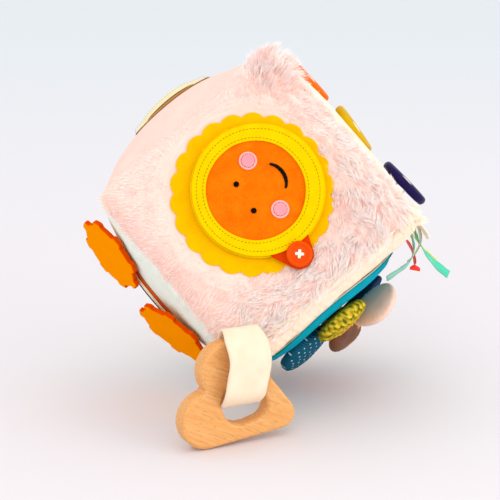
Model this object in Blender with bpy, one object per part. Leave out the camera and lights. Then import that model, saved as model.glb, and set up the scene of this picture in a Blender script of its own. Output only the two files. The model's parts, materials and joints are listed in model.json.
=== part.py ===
"""Soft fabric activity block: a stuffed cube of six sewn panels, standing on one corner.

Each side carries its own play piece: a felt sun flap on the plush front, two gears, a pocket,
three large buttons, a flower with loose petals, and a wooden heart on a strap loop at the corner.
Everything on the block is laid out in the block's own frame, with the plush front at -Y. That
frame is then rolled and leaned, so that the block stands on its lower rear corner.
"""

import math

import bmesh
import bpy
import numpy as np
from mathutils import Matrix, Vector

for old in list(bpy.data.objects):
    bpy.data.objects.remove(old, do_unlink=True)

# Driving dimensions of the block, in metres
BLOCK_SIDE = 0.150
COVER_THICKNESS = 0.003
EDGE_DRAW_SHARE = 0.03
CORNER_BLUNT_SHARE = 0.05
CORNER_BLUNT_POWER = 6
SEAT_GAP = 0.0003
SOFT_GAP = 0.0005
SEAM_GAP = 0.00025
FLOOR_FLAT = 0.0005
FELT = 0.0012

# How the block stands: rolled on its front face, and leaning back on its rear corner
ROLL = math.radians(50)
LEAN = math.radians(17)

HALF = BLOCK_SIDE / 2


class Side:
    """One side of the block: its directions, and the crown that the stuffing gives it."""

    def __init__(self, along, across, crown, flat_share, crown_power):
        self.along = np.array(along, float)
        self.across = np.array(across, float)
        self.out = np.cross(self.along, self.across)
        self.crown = crown
        self.flat_share = flat_share
        self.crown_power = crown_power


FRONT_CROWN = 0.009
GEAR_CROWN = 0.012
POCKET_CROWN = 0.020
BUTTON_CROWN = 0.012
FLOWER_CROWN = 0.0065
BACK_CROWN = 0.009

FRONT = Side((1, 0, 0), (0, 0, 1), FRONT_CROWN, flat_share=0.78, crown_power=2.0)
BACK = Side((-1, 0, 0), (0, 0, 1), BACK_CROWN, flat_share=0.58, crown_power=2.0)
FLOWER = Side((0, 1, 0), (0, 0, 1), FLOWER_CROWN, flat_share=0.0, crown_power=2.4)
POCKET = Side((0, -1, 0), (0, 0, 1), POCKET_CROWN, flat_share=0.0, crown_power=3.0)
BUTTON = Side((1, 0, 0), (0, 1, 0), BUTTON_CROWN, flat_share=0.0, crown_power=4.0)
GEAR = Side((1, 0, 0), (0, -1, 0), GEAR_CROWN, flat_share=0.0, crown_power=2.4)


# Form of the stuffed cover

def drawn_in(t):
    """Edges bow towards the block's middle, most at half length."""
    return 1 - EDGE_DRAW_SHARE * (1 - t ** 2)


def crown_share(t, side):
    """Share of the full crown along one direction: flat in the middle, rounded to zero at a seam."""
    rim = np.clip((np.abs(t) - side.flat_share) / (1 - side.flat_share), 0, None)
    return 1 - rim ** side.crown_power


def cover_points(side, along, across, lift=0.0):
    """Points on the cover at the given distances from a side's middle, lifted off it by `lift`."""
    half = HALF + lift
    u = np.asarray(along, float) / HALF
    v = np.asarray(across, float) / HALF
    full = crown_share(u, side) * crown_share(v, side)
    rise = half * drawn_in(u) * drawn_in(v) * (1 - full) + (half + side.crown) * full
    blunt = 1 - CORNER_BLUNT_SHARE * np.abs(u * v) ** CORNER_BLUNT_POWER
    place = (
        np.multiply.outer(half * u * drawn_in(v), side.along)
        + np.multiply.outer(half * v * drawn_in(u), side.across)
        + np.multiply.outer(rise, side.out)
    )
    return place * blunt[..., None]


def crown_frame(side, along, across, lift=0.0):
    """Frame that touches the crown at one point: X along the side, Z straight out of it."""
    step = SEAT_GAP
    here = cover_points(side, along, across, lift)
    run = cover_points(side, along + step, across, lift) - cover_points(side, along - step, across, lift)
    rise = cover_points(side, along, across + step, lift) - cover_points(side, along, across - step, lift)
    return frame_matrix(here, run, np.cross(run, rise))


def frame_matrix(place, x_axis, z_axis):
    """Placement matrix with Z along z_axis and X as near x_axis as it can be."""
    z = Vector(z_axis).normalized()
    x = Vector(x_axis)
    x = (x - z * x.dot(z)).normalized()
    rotation = Matrix((x, z.cross(x), z)).transposed()
    return Matrix.Translation(Vector(place)) @ rotation.to_4x4()


# Building blocks

MERGE_DISTANCE = 0.00002
SHARP_ANGLE = math.radians(35)
ARC_STEPS = 12


def empty(name, parent=None, matrix=None):
    frame = bpy.data.objects.new(name, None)
    frame.empty_display_size = HALF
    bpy.context.collection.objects.link(frame)
    frame.parent = parent
    if matrix is not None:
        frame.matrix_basis = matrix
    return frame


def add_piece(name, points, faces, material, parent=None, matrix=None):
    """Make one closed piece from points and faces, turn its faces outwards and shade it."""
    mesh = bpy.data.meshes.new(name)
    mesh.from_pydata([tuple(p) for p in points], [], faces)
    skin = bmesh.new()
    skin.from_mesh(mesh)
    bmesh.ops.remove_doubles(skin, verts=skin.verts, dist=MERGE_DISTANCE)
    bmesh.ops.recalc_face_normals(skin, faces=skin.faces)
    skin.to_mesh(mesh)
    skin.free()
    mesh.shade_smooth()
    mesh.set_sharp_from_angle(angle=SHARP_ANGLE)
    mesh.materials.append(material)
    piece = bpy.data.objects.new(name, mesh)
    bpy.context.collection.objects.link(piece)
    piece.parent = parent
    if matrix is not None:
        piece.matrix_basis = matrix
    return piece


def grid_faces(rows, columns, start=0, flip=False):
    """Triangles over a grid of points numbered row by row, all split towards the grid's corners.

    Every layer of a soft side is split alike, so that layers laid over each other keep their gap.
    """
    faces = []
    for i in range(rows - 1):
        for j in range(columns - 1):
            a = start + i * columns + j
            b, c, d = a + columns, a + columns + 1, a + 1
            outward = (2 * i < rows - 1) == (2 * j < columns - 1)
            pair = ((a, b, c), (a, c, d)) if outward else ((a, b, d), (b, c, d))
            faces += [face[::-1] if flip else face for face in pair]
    return faces


def slab(name, top, bottom, material, parent=None, matrix=None):
    """Closed sheet between two grids of points of the same shape."""
    rows, columns = top.shape[:2]
    count = rows * columns
    faces = grid_faces(rows, columns) + grid_faces(rows, columns, count, flip=True)
    rim = [i * columns for i in range(rows)]
    rim += [(rows - 1) * columns + j for j in range(1, columns)]
    rim += [i * columns + columns - 1 for i in range(rows - 2, -1, -1)]
    rim += [j for j in range(columns - 2, 0, -1)]
    for a, b in zip(rim, rim[1:] + rim[:1]):
        faces.append((a, a + count, b + count, b))
    points = np.concatenate([top.reshape(-1, 3), bottom.reshape(-1, 3)])
    return add_piece(name, points, faces, material, parent, matrix)


def lofted(name, loops, material, parent=None, matrix=None, ring=False):
    """Skin a list of loops with the same number of points; a ring joins its last loop to its first."""
    size = len(loops[0])
    pairs = list(range(len(loops) - 1)) + ([len(loops) - 1] if ring else [])
    faces = []
    for k in pairs:
        low = k * size
        high = (k + 1) % len(loops) * size
        for i in range(size):
            j = (i + 1) % size
            faces.append((low + i, low + j, high + j, high + i))
    if not ring:
        faces.append(tuple(range(size))[::-1])
        faces.append(tuple(range(len(loops) * size - size, len(loops) * size)))
    return add_piece(name, np.concatenate(loops), faces, material, parent, matrix)


def at_height(outline, height):
    """An outline of (x, y) points, set level at a height."""
    return np.column_stack([outline, np.full(len(outline), height)])


def circle(radius, count, centre=(0.0, 0.0)):
    turn = np.linspace(0, 2 * math.pi, count, endpoint=False)
    return np.column_stack([centre[0] + radius * np.cos(turn), centre[1] + radius * np.sin(turn)])


def arc(centre, radius, start, end, count):
    """Points along an arc, its start and end given in degrees."""
    turn = np.radians(np.linspace(start, end, count))
    return np.column_stack([centre[0] + radius * np.cos(turn), centre[1] + radius * np.sin(turn)])


def spin_matrix(angle):
    """Matrix that turns rows of (x, y) points anticlockwise when they are multiplied by it."""
    return np.array([(math.cos(angle), math.sin(angle)), (-math.sin(angle), math.cos(angle))])


def turned(name, profile, count, material, parent=None, matrix=None):
    """Turn a profile of (radius, height) points, which starts and ends on the axis."""
    loops = [at_height(circle(radius, count), height) for radius, height in profile[1:-1]]
    low = np.array([[0.0, 0.0, profile[0][1]]])
    high = np.array([[0.0, 0.0, profile[-1][1]]])
    points = np.concatenate([low] + loops + [high])
    last = len(points) - 1
    faces = []
    for i in range(count):
        j = (i + 1) % count
        faces.append((0, 1 + j, 1 + i))
        faces.append((last, last - count + i, last - count + j))
        for k in range(len(loops) - 1):
            start = 1 + k * count
            faces.append((start + i, start + j, start + count + j, start + count + i))
    return add_piece(name, points, faces, material, parent, matrix)


def washer(name, outer, inner, low, high, material, parent=None, matrix=None):
    """Flat ring between two outlines that have the same number of points."""
    loops = [at_height(outer, low), at_height(outer, high), at_height(inner, high), at_height(inner, low)]
    return lofted(name, loops, material, parent, matrix, ring=True)


def offset_outline(outline, distance):
    """Move each point of a closed outline to its outer side by a distance."""
    along = np.roll(outline, -1, axis=0) - np.roll(outline, 1, axis=0)
    along /= np.linalg.norm(along, axis=1)[:, None]
    return outline + distance * np.column_stack([along[:, 1], -along[:, 0]])


def even_points(outline, count):
    """Closed outline again, with its points an even distance apart."""
    closed = np.vstack([outline, outline[:1]])
    walked = np.concatenate([[0.0], np.cumsum(np.linalg.norm(np.diff(closed, axis=0), axis=1))])
    wanted = np.linspace(0, walked[-1], count, endpoint=False)
    return np.column_stack([np.interp(wanted, walked, closed[:, k]) for k in range(closed.shape[1])])


def hull_of_circles(circles, count):
    """Outline of circles (x, y, radius) given in turn order, joined by straight tangents."""
    points = []
    for before, here, after in zip(circles[-1:] + circles[:-1], circles, circles[1:] + circles[:1]):
        start = tangent_angle(before, here)
        end = tangent_angle(here, after)
        while end < start:
            end += 2 * math.pi
        turn = np.linspace(start, end, ARC_STEPS)
        points.append(np.column_stack([here[0] + here[2] * np.cos(turn), here[1] + here[2] * np.sin(turn)]))
    return even_points(np.concatenate(points), count)


def tangent_angle(first, second):
    """Direction from a circle's centre to where its outer tangent to the next circle leaves it."""
    gap = math.dist(first[:2], second[:2])
    heading = math.atan2(second[1] - first[1], second[0] - first[0])
    return heading - math.acos((first[2] - second[2]) / gap)


def cut(piece, cutter):
    """Take a cutter's shape out of a piece."""
    cutter.hide_render = True
    cutter.display_type = "WIRE"
    notch = piece.modifiers.new("cut", "BOOLEAN")
    notch.object = cutter
    notch.operation = "DIFFERENCE"
    notch.solver = "EXACT"


def fuse(piece, tool):
    """Join a tool's shape to a piece."""
    tool.hide_render = True
    tool.display_type = "WIRE"
    weld = piece.modifiers.new("fuse", "BOOLEAN")
    weld.object = tool
    weld.operation = "UNION"
    weld.solver = "EXACT"


# Materials, with the colours of the real fabrics and finishes

def finish(name, colour, roughness, metallic=0.0):
    """Principled material from an sRGB hex colour."""
    material = bpy.data.materials.new(name)
    material.use_nodes = True
    srgb = np.array([int(colour[k:k + 2], 16) for k in (1, 3, 5)]) / 255
    linear = np.where(srgb <= 0.04045, srgb / 12.92, ((srgb + 0.055) / 1.055) ** 2.4)
    shader = material.node_tree.nodes["Principled BSDF"]
    shader.inputs["Base Color"].default_value = (*linear, 1.0)
    shader.inputs["Roughness"].default_value = roughness
    shader.inputs["Metallic"].default_value = metallic
    material.diffuse_color = (*linear, 1.0)
    return material


PINK_PLUSH = finish("pink_plush", "#F9DDD6", 0.95)
MINT_COTTON = finish("mint_cotton", "#E6EEDF", 0.9)
CREAM_COTTON = finish("cream_cotton", "#FFF2D6", 0.9)
FIBRE_FILLING = finish("fibre_filling", "#F4F4F0", 1.0)
SUN_YELLOW_FELT = finish("sun_yellow_felt", "#FBC803", 0.95)
FLAP_YELLOW_FELT = finish("flap_yellow_felt", "#FDDC05", 0.95)
FACE_ORANGE_FELT = finish("face_orange_felt", "#F97A05", 0.95)
CHEEK_FELT = finish("cheek_felt", "#F59EA2", 0.95)
BLACK_THREAD = finish("black_thread", "#1A0A05", 0.8)
WHITE_THREAD = finish("white_thread", "#FFF5EA", 0.8)
TAB_FELT = finish("tab_felt", "#E84E0E", 0.95)
ORANGE_BUTTON = finish("orange_button", "#F65A06", 0.35)
MIRROR_FILM = finish("mirror_film", "#E8EAEE", 0.08, metallic=1.0)
HOOK_TAPE = finish("hook_tape", "#F2E9D8", 0.9)
GEAR_FELT = finish("gear_felt", "#FF9500", 0.9)
CLEAR_SNAP = finish("clear_snap", "#E9E4DA", 0.4)
BLACK_FELT = finish("black_felt", "#2A2623", 0.95)
POCKET_COTTON = finish("pocket_cotton", "#F6E7AE", 0.9)
BROWN_LINING = finish("brown_lining", "#A07828", 0.9)
BUTTON_ORANGE = finish("large_button_orange", "#F97F05", 0.45)
BUTTON_YELLOW = finish("large_button_yellow", "#E3B905", 0.45)
BUTTON_PURPLE = finish("large_button_purple", "#3C2C66", 0.45)
TEAL_FELT = finish("teal_felt", "#17B4C8", 0.95)
LIME_CHENILLE = finish("lime_chenille", "#D8BE30", 0.95)
BLUE_COTTON = finish("blue_cotton", "#1F6E8C", 0.9)
BLUSH_SATIN = finish("blush_satin", "#EFC4B0", 0.4)
SALMON_COTTON = finish("salmon_cotton", "#E8806E", 0.9)
NAVY_COTTON = finish("navy_cotton", "#2A3D5A", 0.9)
BROWN_SATIN = finish("brown_satin", "#7A4B33", 0.4)
TEAL_RIBBON = finish("teal_ribbon", "#53D2AE", 0.6)
YELLOW_RIBBON = finish("yellow_ribbon", "#E0D73A", 0.6)
MINT_RIBBON = finish("mint_ribbon", "#A9DDC6", 0.6)
RED_RIBBON = finish("red_ribbon", "#F01800", 0.6)
BEECH = finish("beech", "#E9AC66", 0.55)


# Stuffing and the six sewn panels

PANEL_GRID_SHARES = (0, 0.3, 0.58, 0.78, 0.9, 1)

block = empty("block")


def panel_grid(edge):
    """Grid lines over a side, closer together where the crown rounds down to the seams."""
    positive = np.minimum(np.array(PANEL_GRID_SHARES) * HALF, edge)
    lines = np.concatenate([-positive[:0:-1], positive])
    return np.meshgrid(lines, lines, indexing="ij")


def make_panel(name, side, material):
    """One sewn panel: a thin crowned sheet, whose edges meet the next panels on the mitre."""
    along, across = panel_grid(HALF - SEAM_GAP)
    top = cover_points(side, along, across)
    bottom = cover_points(side, along, across, lift=-COVER_THICKNESS)
    return slab(name, top, bottom, material, block)


def make_core(name, material):
    """Fibre filling that fills the sewn cover from inside."""
    along, across = panel_grid(HALF)
    points, faces = [], []
    for side in (FRONT, BACK, FLOWER, POCKET, BUTTON, GEAR):
        grid = cover_points(side, along, across, lift=-COVER_THICKNESS - SOFT_GAP)
        faces += grid_faces(*grid.shape[:2], start=len(points) * grid.shape[0] * grid.shape[1])
        points.append(grid.reshape(-1, 3))
    return add_piece(name, np.concatenate(points), faces, material, block)


make_core("stuffing_core", FIBRE_FILLING)
make_panel("plush_front_panel", FRONT, PINK_PLUSH)
back_panel = make_panel("back_panel", BACK, CREAM_COTTON)
flower_panel = make_panel("flower_side_panel", FLOWER, CREAM_COTTON)
make_panel("pocket_side_panel", POCKET, CREAM_COTTON)
make_panel("button_side_panel", BUTTON, CREAM_COTTON)
gear_panel = make_panel("gear_side_panel", GEAR, MINT_COTTON)


# Sun: a scalloped felt base on the plush, a mirror on it, and a three-layer flap over both

SUN_ALONG = -0.010
SUN_ACROSS = 0.0024
SCALLOP_COUNT = 22
SCALLOP_POINTS = 5
SCALLOP_RADIUS = 0.0525
SCALLOP_DEPTH = 0.003
SCALLOP_ROUND_POWER = 0.8
MIRROR_RADIUS = 0.026
MIRROR_THICKNESS = 0.001
FLAP_SHIFT_ALONG = 0.0006
FLAP_SHIFT_ACROSS = 0.0041

sun = empty("sun_frame", block, crown_frame(FRONT, SUN_ALONG, SUN_ACROSS))


def scallop_outline():
    """Round outline whose edge swells out in equal scallops."""
    turn = np.linspace(0, 2 * math.pi, SCALLOP_COUNT * SCALLOP_POINTS, endpoint=False)
    swell = np.abs(np.sin(turn * SCALLOP_COUNT / 2)) ** SCALLOP_ROUND_POWER
    radius = SCALLOP_RADIUS - SCALLOP_DEPTH * (1 - swell)
    return np.column_stack([radius * np.cos(turn), radius * np.sin(turn)])


base_low = SEAT_GAP
base_high = base_low + FELT
lofted(
    "sun_scallop_base",
    [at_height(scallop_outline(), base_low), at_height(scallop_outline(), base_high)],
    SUN_YELLOW_FELT,
    sun,
)


def disc(name, radius, low, high, material, parent, count=32, matrix=None):
    """Plain flat disc."""
    outline = circle(radius, count)
    return lofted(name, [at_height(outline, low), at_height(outline, high)], material, parent, matrix)


mirror_low = base_high + SEAT_GAP
mirror_place = Matrix.Translation((FLAP_SHIFT_ALONG, FLAP_SHIFT_ACROSS, 0))
mirror_high = mirror_low + MIRROR_THICKNESS
disc("peek_mirror", MIRROR_RADIUS, mirror_low, mirror_high, MIRROR_FILM, sun, matrix=mirror_place)

FLAP_RADIUS = 0.043
HINGE_CLEARANCE = 0.0015
DOT_RADIUS = 0.0065
DOT_THICKNESS = 0.0006
DOT_CLEARANCE = 0.0015
HINGE_TAPE_LENGTH = 0.022
HINGE_TAPE_WIDTH = 0.006

loop_low = base_high + SEAT_GAP
loop_high = loop_low + DOT_THICKNESS
hook_low = loop_high + SEAT_GAP
hook_high = hook_low + DOT_THICKNESS
back_low = hook_high + SEAT_GAP
back_high = back_low + FELT

flap_centre = Vector((FLAP_SHIFT_ALONG, FLAP_SHIFT_ACROSS, 0))
hinge_level = (hook_high + back_low) / 2
hinge_reach = FLAP_RADIUS + HINGE_CLEARANCE

# The flap turns about a line along its left edge: the hinge frame's Y axis is that line
flap_hinge = empty(
    "sun_flap_hinge",
    sun,
    Matrix.Translation(flap_centre + Vector((-hinge_reach, 0, hinge_level))),
)
flap = empty("sun_flap_frame", flap_hinge, Matrix.Translation((hinge_reach, 0, -hinge_level)))


def moved(outline, along, across):
    return outline + np.array([along, across])


def box_piece(name, size, centre, material, parent):
    """Rectangular piece from its size and centre."""
    x, y = size[0] / 2, size[1] / 2
    outline = moved(np.array([(-x, -y), (x, -y), (x, y), (-x, y)]), centre[0], centre[1])
    low = centre[2] - size[2] / 2
    return lofted(name, [at_height(outline, low), at_height(outline, low + size[2])], material, parent)


# The pair of fastening dots lies beside the mirror, under the button tab
dot_reach = MIRROR_RADIUS + DOT_CLEARANCE + DOT_RADIUS
dot_centre = moved(circle(DOT_RADIUS, 20), dot_reach, 0)
loop_outline = moved(dot_centre, flap_centre.x, flap_centre.y)
lofted("loop_dot", [at_height(loop_outline, loop_low), at_height(loop_outline, loop_high)], HOOK_TAPE, sun)
lofted("hook_dot", [at_height(dot_centre, hook_low), at_height(dot_centre, hook_high)], HOOK_TAPE, flap)

tape_height = hook_high - loop_low
box_piece(
    "flap_hinge_tape",
    (HINGE_TAPE_WIDTH, HINGE_TAPE_LENGTH, tape_height),
    (flap_centre.x - FLAP_RADIUS + HINGE_TAPE_WIDTH / 2, flap_centre.y, loop_low + tape_height / 2),
    FLAP_YELLOW_FELT,
    sun,
)

FACE_RADIUS = 0.034
FACE_SHIFT_ALONG = -0.0007
FACE_SHIFT_ACROSS = -0.0013
FLAP_RING_RADIUS = 0.042
FLAP_RING_HOLE = 0.0315
TAB_REACH = 0.0475
TAB_END_RADIUS = 0.0095
TAB_ROOT_REACH = 0.0375
TAB_ROOT_WIDTH = 0.026
TAB_SIDE_SHIFT = -0.0068

face_low = back_high + SEAT_GAP
face_high = face_low + FELT
flap_ring_low = face_high + SEAT_GAP
flap_ring_high = flap_ring_low + FELT

disc("flap_back_disc", FLAP_RADIUS, back_low, back_high, FLAP_YELLOW_FELT, flap, count=48)
face_place = Matrix.Translation((FACE_SHIFT_ALONG, FACE_SHIFT_ACROSS, 0))
disc("sun_face_disc", FACE_RADIUS, face_low, face_high, FACE_ORANGE_FELT, flap, 40, face_place)
washer(
    "sun_ring",
    circle(FLAP_RING_RADIUS, 48),
    circle(FLAP_RING_HOLE, 48, (FACE_SHIFT_ALONG, FACE_SHIFT_ACROSS)),
    flap_ring_low,
    flap_ring_high,
    FLAP_YELLOW_FELT,
    flap,
)


def tab_outline():
    """Teardrop tab: wide where it is sewn under the ring, round at its free end."""
    root = TAB_ROOT_WIDTH / 2
    corner = FELT
    return hull_of_circles(
        [
            (TAB_ROOT_REACH, TAB_SIDE_SHIFT - root, corner),
            (TAB_REACH, TAB_SIDE_SHIFT, TAB_END_RADIUS),
            (TAB_ROOT_REACH, TAB_SIDE_SHIFT + root, corner),
        ],
        32,
    )


lofted(
    "button_tab",
    [at_height(tab_outline(), face_low), at_height(tab_outline(), face_high)],
    TAB_FELT,
    flap,
)

# Face of the sun: chin towards +Y of the flap, turned a little on it
FACE_TURN = math.radians(-7)
EYE_SPREAD = 0.010
EYE_LEVEL = -0.0082
EYE_RADIUS = 0.0017
EYE_HEIGHT = 0.0009
KNOT_SHARES = ((1.0, 0), (0.92, 0.45), (0.6, 0.85))
CHEEK_SPREAD = 0.0184
CHEEK_LEVEL = 0.0062
CHEEK_RADIUS = 0.0058
CHEEK_THICKNESS = 0.0008
SMILE_HALF_WIDTH = 0.0090
SMILE_LEVEL = 0.0168
SMILE_SAG = 0.0038
SMILE_STROKE = 0.0016

face = empty(
    "sun_face_frame",
    flap,
    face_place @ Matrix.Translation((0, 0, face_high + SEAT_GAP)) @ Matrix.Rotation(FACE_TURN, 4, "Z"),
)


def make_eye(name, along):
    """French knot: a low dome of black thread."""
    knot = [(EYE_RADIUS * r, EYE_HEIGHT * h) for r, h in KNOT_SHARES]
    profile = [(0, 0)] + knot + [(0, EYE_HEIGHT)]
    return turned(name, profile, 12, BLACK_THREAD, face, Matrix.Translation((along, EYE_LEVEL, 0)))


def make_cheek(name, along):
    place = Matrix.Translation((along, CHEEK_LEVEL, 0))
    return disc(name, CHEEK_RADIUS, 0, CHEEK_THICKNESS, CHEEK_FELT, face, count=20, matrix=place)


def make_smile(name):
    """Satin-stitched arc through three points: two ends and the lowest point of the smile."""
    radius = (SMILE_HALF_WIDTH ** 2 + SMILE_SAG ** 2) / (2 * SMILE_SAG)
    reach = math.asin(SMILE_HALF_WIDTH / radius)
    centre = SMILE_LEVEL + SMILE_SAG - radius
    turn = np.linspace(math.pi / 2 - reach, math.pi / 2 + reach, 12)
    line = np.column_stack([np.cos(turn), np.sin(turn)])
    outer = line * (radius + SMILE_STROKE / 2)
    inner = line[::-1] * (radius - SMILE_STROKE / 2)
    outline = moved(np.concatenate([outer, inner]), 0, centre)
    return lofted(name, [at_height(outline, 0), at_height(outline, EYE_HEIGHT)], BLACK_THREAD, face)


make_eye("sun_eye_a", -EYE_SPREAD)
make_eye("sun_eye_b", EYE_SPREAD)
make_cheek("sun_cheek_a", -CHEEK_SPREAD)
make_cheek("sun_cheek_b", CHEEK_SPREAD)
make_smile("sun_smile")


# Buttons: a dished disc with a rolled rim and four holes, and a crossed thread that sews it down

LEG_TILT_CLEARANCE = 0.0017
DISH_FOOT_SHARE = 1.4
DISH_LIP_SHARE = 0.33


class ButtonSize:
    def __init__(self, radius, thickness, rim, dish, hole_radius, hole_spread, thread):
        self.radius = radius
        self.thickness = thickness
        self.rim = rim
        self.dish = dish
        self.hole_radius = hole_radius
        self.hole_spread = hole_spread
        self.thread = thread


def make_button(name, size, material, parent, matrix, count):
    """Turned button, flat below, with a rounded rim around a dished middle, then four holes."""
    edge = size.rim / 2
    profile = [(0, 0), (size.radius - edge, 0)]
    for turn in np.linspace(-math.pi / 2, math.pi / 2, 7)[1:]:
        height = size.thickness / 2 * (1 + math.sin(turn))
        profile.append((size.radius - edge + edge * math.cos(turn), height))
    floor = size.thickness - size.dish
    lip = size.thickness - DISH_LIP_SHARE * size.dish
    profile += [(size.radius - size.rim, lip), (size.radius - DISH_FOOT_SHARE * size.rim, floor), (0, floor)]
    button = turned(name, profile, count, material, parent, matrix)
    for k, (x, y) in enumerate(hole_places(size)):
        drill = disc(
            name + "_hole_%d" % k,
            size.hole_radius,
            -size.thickness,
            2 * size.thickness,
            material,
            parent,
            count=12,
            matrix=matrix @ Matrix.Translation((x, y, 0)),
        )
        cut(button, drill)
    return button


def hole_places(size):
    spread = size.hole_spread / 2
    return [(-spread, -spread), (spread, -spread), (spread, spread), (-spread, spread)]


def make_cross_thread(name, size, parent, matrix, shank):
    """Two crossed stitches over the button, and a leg down each hole to the cloth it is sewn to."""
    low = size.thickness - size.dish + SEAT_GAP
    high = low + size.thread
    reach = size.hole_spread / 2 + size.thread / 2
    half = size.thread / 2
    arm = np.array([(-reach, -half), (reach, -half), (reach, half), (-reach, half)])
    turn = math.pi / 4
    cross = None
    for angle in (turn, -turn):
        bar = (arm * np.array([math.sqrt(2), 1])) @ spin_matrix(angle)
        layers = [at_height(bar, low), at_height(bar, high)]
        stitch = lofted(name + "_bar", layers, WHITE_THREAD, parent, matrix)
        if cross is None:
            cross = stitch
            cross.name = name
        else:
            fuse(cross, stitch)
    for k, (x, y) in enumerate(hole_places(size)):
        leg = disc(
            name + "_leg_%d" % k,
            half,
            LEG_TILT_CLEARANCE - shank,
            low + half,
            WHITE_THREAD,
            parent,
            count=8,
            matrix=matrix @ Matrix.Translation((x, y, 0)),
        )
        fuse(cross, leg)
    return cross


TAB_BUTTON_RADIUS = 0.0083
TAB_BUTTON_THICKNESS = 0.0026
TAB_BUTTON_RIM = 0.0022
TAB_BUTTON_DISH = 0.0009
TAB_HOLE_RADIUS = 0.0009
TAB_HOLE_SPREAD = 0.0034
TAB_THREAD = 0.0011

TAB_BUTTON = ButtonSize(
    TAB_BUTTON_RADIUS,
    TAB_BUTTON_THICKNESS,
    TAB_BUTTON_RIM,
    TAB_BUTTON_DISH,
    TAB_HOLE_RADIUS,
    TAB_HOLE_SPREAD,
    TAB_THREAD,
)
tab_button_place = Matrix.Translation((TAB_REACH, TAB_SIDE_SHIFT, flap_ring_high + SEAT_GAP))
make_button("tab_button", TAB_BUTTON, ORANGE_BUTTON, flap, tab_button_place, count=28)
tab_shank = flap_ring_high - face_high + LEG_TILT_CLEARANCE
make_cross_thread("tab_thread", TAB_BUTTON, flap, tab_button_place, tab_shank)


# Three large buttons in a row on the upper right side, each sewn on so that it can twist

LARGE_BUTTON_RADIUS = 0.0195
LARGE_BUTTON_THICKNESS = 0.0062
LARGE_BUTTON_RIM = 0.0046
LARGE_BUTTON_DISH = 0.0018
LARGE_HOLE_RADIUS = 0.0017
LARGE_HOLE_SPREAD = 0.0076
LARGE_THREAD = 0.0022
LARGE_BUTTON_DEPTH = 0.003
LARGE_BUTTON_LEAN = math.radians(12)
ORANGE_ALONG = -0.0485
ORANGE_STAND_OFF = 0.0052
ORANGE_TIP = math.radians(-2)
YELLOW_ALONG = -0.0040
YELLOW_STAND_OFF = 0.0042
YELLOW_TIP = math.radians(6)
PURPLE_ALONG = 0.0445
PURPLE_STAND_OFF = 0.0086
PURPLE_TIP = math.radians(-3)

LARGE_BUTTON = ButtonSize(
    LARGE_BUTTON_RADIUS,
    LARGE_BUTTON_THICKNESS,
    LARGE_BUTTON_RIM,
    LARGE_BUTTON_DISH,
    LARGE_HOLE_RADIUS,
    LARGE_HOLE_SPREAD,
    LARGE_THREAD,
)


class RaisedSeat:
    """A piece that stands off a soft side on its own shank, tipped to its own angle."""

    def __init__(self, label, along, stand_off, tip, lean):
        self.label = label
        self.along = along
        self.stand_off = stand_off
        self.tip = tip
        self.lean = lean

    def frame(self, side, across):
        """X runs along the side; Z leaves it, tipped along the side and leaning to the front."""
        place = cover_points(side, self.along, across, self.stand_off)
        z_axis = side.out + math.tan(self.tip) * side.along + math.tan(self.lean) * FRONT.out
        return frame_matrix(place, side.along, z_axis)


LARGE_BUTTONS = (
    (RaisedSeat("orange", ORANGE_ALONG, ORANGE_STAND_OFF, ORANGE_TIP, LARGE_BUTTON_LEAN), BUTTON_ORANGE),
    (RaisedSeat("yellow", YELLOW_ALONG, YELLOW_STAND_OFF, YELLOW_TIP, LARGE_BUTTON_LEAN), BUTTON_YELLOW),
    (RaisedSeat("purple", PURPLE_ALONG, PURPLE_STAND_OFF, PURPLE_TIP, LARGE_BUTTON_LEAN), BUTTON_PURPLE),
)
for seat, material in LARGE_BUTTONS:
    axle = empty("big_button_axis_" + seat.label, block, seat.frame(BUTTON, LARGE_BUTTON_DEPTH))
    make_button("big_button_" + seat.label, LARGE_BUTTON, material, axle, Matrix(), count=36)
    make_cross_thread("big_thread_" + seat.label, LARGE_BUTTON, axle, Matrix(), seat.stand_off)


# Two foam gears that spin on snap fasteners, with a layered strip between them

GEAR_TEETH = 8
GEAR_TIP_RADIUS = 0.0280
GEAR_ROOT_RADIUS = 0.0218
GEAR_THICKNESS = 0.0035
GEAR_TOOTH_WIDTH = 0.0075
GEAR_FILLET = 0.0020
GEAR_CORNER = 0.0014
GEAR_SOFT_EDGE = 0.0005
GEAR_DEPTH = 0.022
STUD_BASE_RADIUS = 0.007
STUD_BASE = 0.0008
STUD_POST_RADIUS = 0.0026
STUD_SHANK_RADIUS = 0.0018
STUD_HEAD_RADIUS = 0.0031
SOCKET_RADIUS = 0.0062
SOCKET_HEIGHT = 0.0020
SNAP_CLEARANCE = 0.0004

UPPER_ALONG = -0.0430
UPPER_STAND_OFF = 0.0034
UPPER_TIP = math.radians(-2.5)
UPPER_LEAN = math.radians(19)
LOWER_ALONG = 0.0220
LOWER_STAND_OFF = 0.0024
LOWER_TIP = math.radians(11)
LOWER_LEAN = math.radians(16)

GEAR_UPPER = RaisedSeat("upper", UPPER_ALONG, UPPER_STAND_OFF, UPPER_TIP, UPPER_LEAN)
GEAR_LOWER = RaisedSeat("lower", LOWER_ALONG, LOWER_STAND_OFF, LOWER_TIP, LOWER_LEAN)
GEAR_TURNS = (math.radians(3), math.radians(20))


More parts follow.
